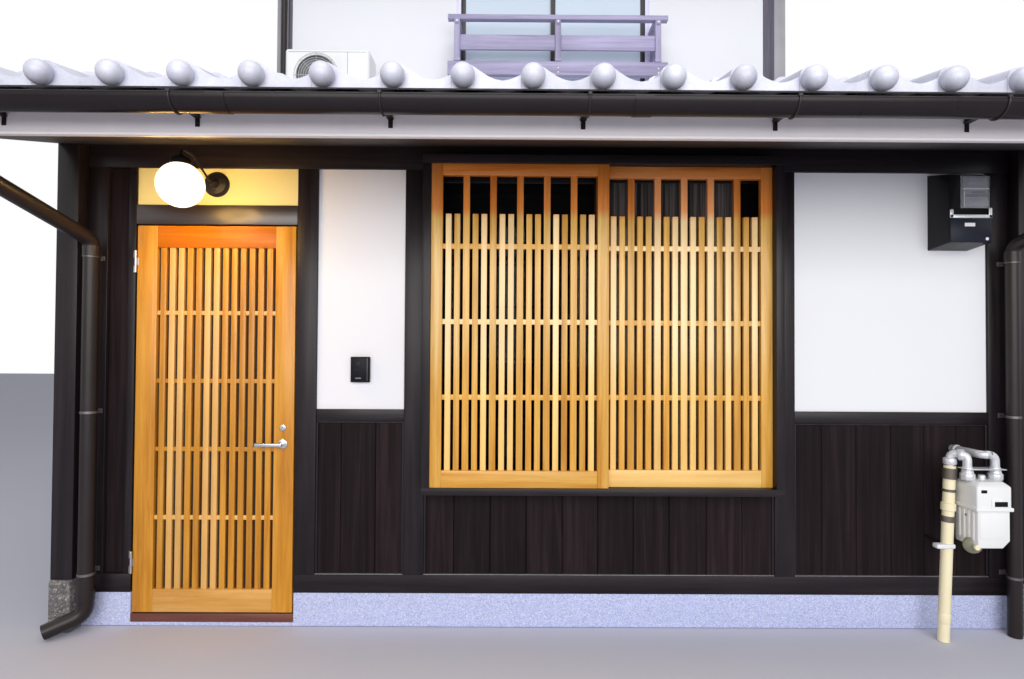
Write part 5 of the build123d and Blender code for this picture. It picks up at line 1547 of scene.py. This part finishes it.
# floor, lights and camera
studio = {
    "floor": (0.58, 0.58, 0.655), "floorPale": (0.66, 0.66, 0.735), "floorSize": 60.0, "floorDrop": 0.002,
    "sky": (0.93, 0.96, 1.0), "skyStrength": 0.36,
    "key": {"power": 560.0, "place": (0.3, -7.5, 3.3), "size": (9.5, 4.4), "aim": (0.3, 0.0, 1.5),
            "colour": (1.0, 0.98, 0.97)},
    "top": {"power": 350.0, "place": (0.0, -3.0, 9.5), "size": (8.0, 5.0), "aim": (0.0, 2.6, 3.4),
            "colour": (0.97, 0.98, 1.0)},
    "porchPower": 70.0, "porchColour": (1.0, 0.56, 0.14), "porchSize": 0.117,
    "eye": (-0.204, -3.17, 1.440), "turns": (-0.240, 0.973, -0.329),   # degrees of yaw, pitch and roll
    "sensor": 36.0, "lens": 36.0 * 606.0 / 1024.0,
}


def paleFloor():
    bpy.ops.object.select_all(action="DESELECT")
    bpy.ops.mesh.primitive_plane_add(size=studio["floorSize"], location=(0, 0, -studio["floorDrop"]))
    floor = bpy.context.object
    floor.name = "floor"
    look = Look("pale floor")
    clouds = look.noise(look.place(), 0.7, 5.0, 0.6)
    grit = look.noise(look.place(), 90.0, 2.0, 0.6)
    colour = look.mix(clouds * 0.5, studio["floor"], studio["floorPale"])
    floor.data.materials.append(look.finish(colour=colour, roughness=0.85, specular=0.2,
                                            normal=look.bump(grit, 0.15, 0.003)))


# white for the eye, mirrors and glass, and a dimmer sky that lights the rest
def softSky():
    world = bpy.data.worlds.new("studio")
    scene.world = world
    world.use_nodes = True
    tree = world.node_tree
    tree.nodes.clear()
    shades = []
    for colour, strength in ((studio["sky"], studio["skyStrength"]), ((1, 1, 1), 1.0)):
        shade = tree.nodes.new("ShaderNodeBackground")
        shade.inputs[0].default_value = (*colour, 1)
        shade.inputs[1].default_value = strength
        shades.append(shade.outputs[0])
    path = tree.nodes.new("ShaderNodeLightPath")
    seen = path.outputs["Is Camera Ray"]
    for name in ("Is Glossy Ray", "Is Transmission Ray"):
        most = tree.nodes.new("ShaderNodeMath")
        most.operation = "MAXIMUM"
        tree.links.new(seen, most.inputs[0])
        tree.links.new(path.outputs[name], most.inputs[1])
        seen = most.outputs[0]
    blend = tree.nodes.new("ShaderNodeMixShader")
    for socket, value in zip(blend.inputs, (seen, *shades)):
        tree.links.new(value, socket)
    out = tree.nodes.new("ShaderNodeOutputWorld")
    tree.links.new(blend.outputs[0], out.inputs[0])


def addLight(name, kind, power, colour, place):
    data = bpy.data.lights.new(name, kind)
    data.energy = power
    data.color = colour
    light = bpy.data.objects.new(name, data)
    scene.collection.objects.link(light)
    light.location = place
    light.visible_camera = False
    return light


def studioLights():
    for name in ("key", "top"):
        panel = studio[name]
        light = addLight(name, "AREA", panel["power"], panel["colour"], panel["place"])
        light.data.shape = "RECTANGLE"
        light.data.size, light.data.size_y = panel["size"]
        aim = Vector(panel["aim"]) - Vector(panel["place"])
        light.rotation_euler = aim.to_track_quat("-Z", "Y").to_euler()
    porch = addLight("porch", "POINT", studio["porchPower"], studio["porchColour"],
                     (lamp["x"], lamp["reach"], lamp["globeZ"]))
    porch.data.shadow_soft_size = studio["porchSize"]


# street view
def cameraView():
    data = bpy.data.cameras.new("camera")
    camera = bpy.data.objects.new("camera", data)
    scene.collection.objects.link(camera)
    data.sensor_width = studio["sensor"]
    data.lens = studio["lens"]
    yaw, pitch, roll = (math.radians(value) for value in studio["turns"])
    turn = (Matrix.Rotation(yaw, 4, "Z") @ Matrix.Rotation(pitch, 4, "X") @ Matrix.Rotation(roll, 4, "Y")
            @ Matrix.Rotation(math.pi / 2, 4, "X"))
    camera.matrix_world = Matrix.Translation(studio["eye"]) @ turn
    scene.camera = camera


paleFloor()
softSky()
studioLights()
cameraView()
scene.view_settings.view_transform = "Standard"
say("studio")
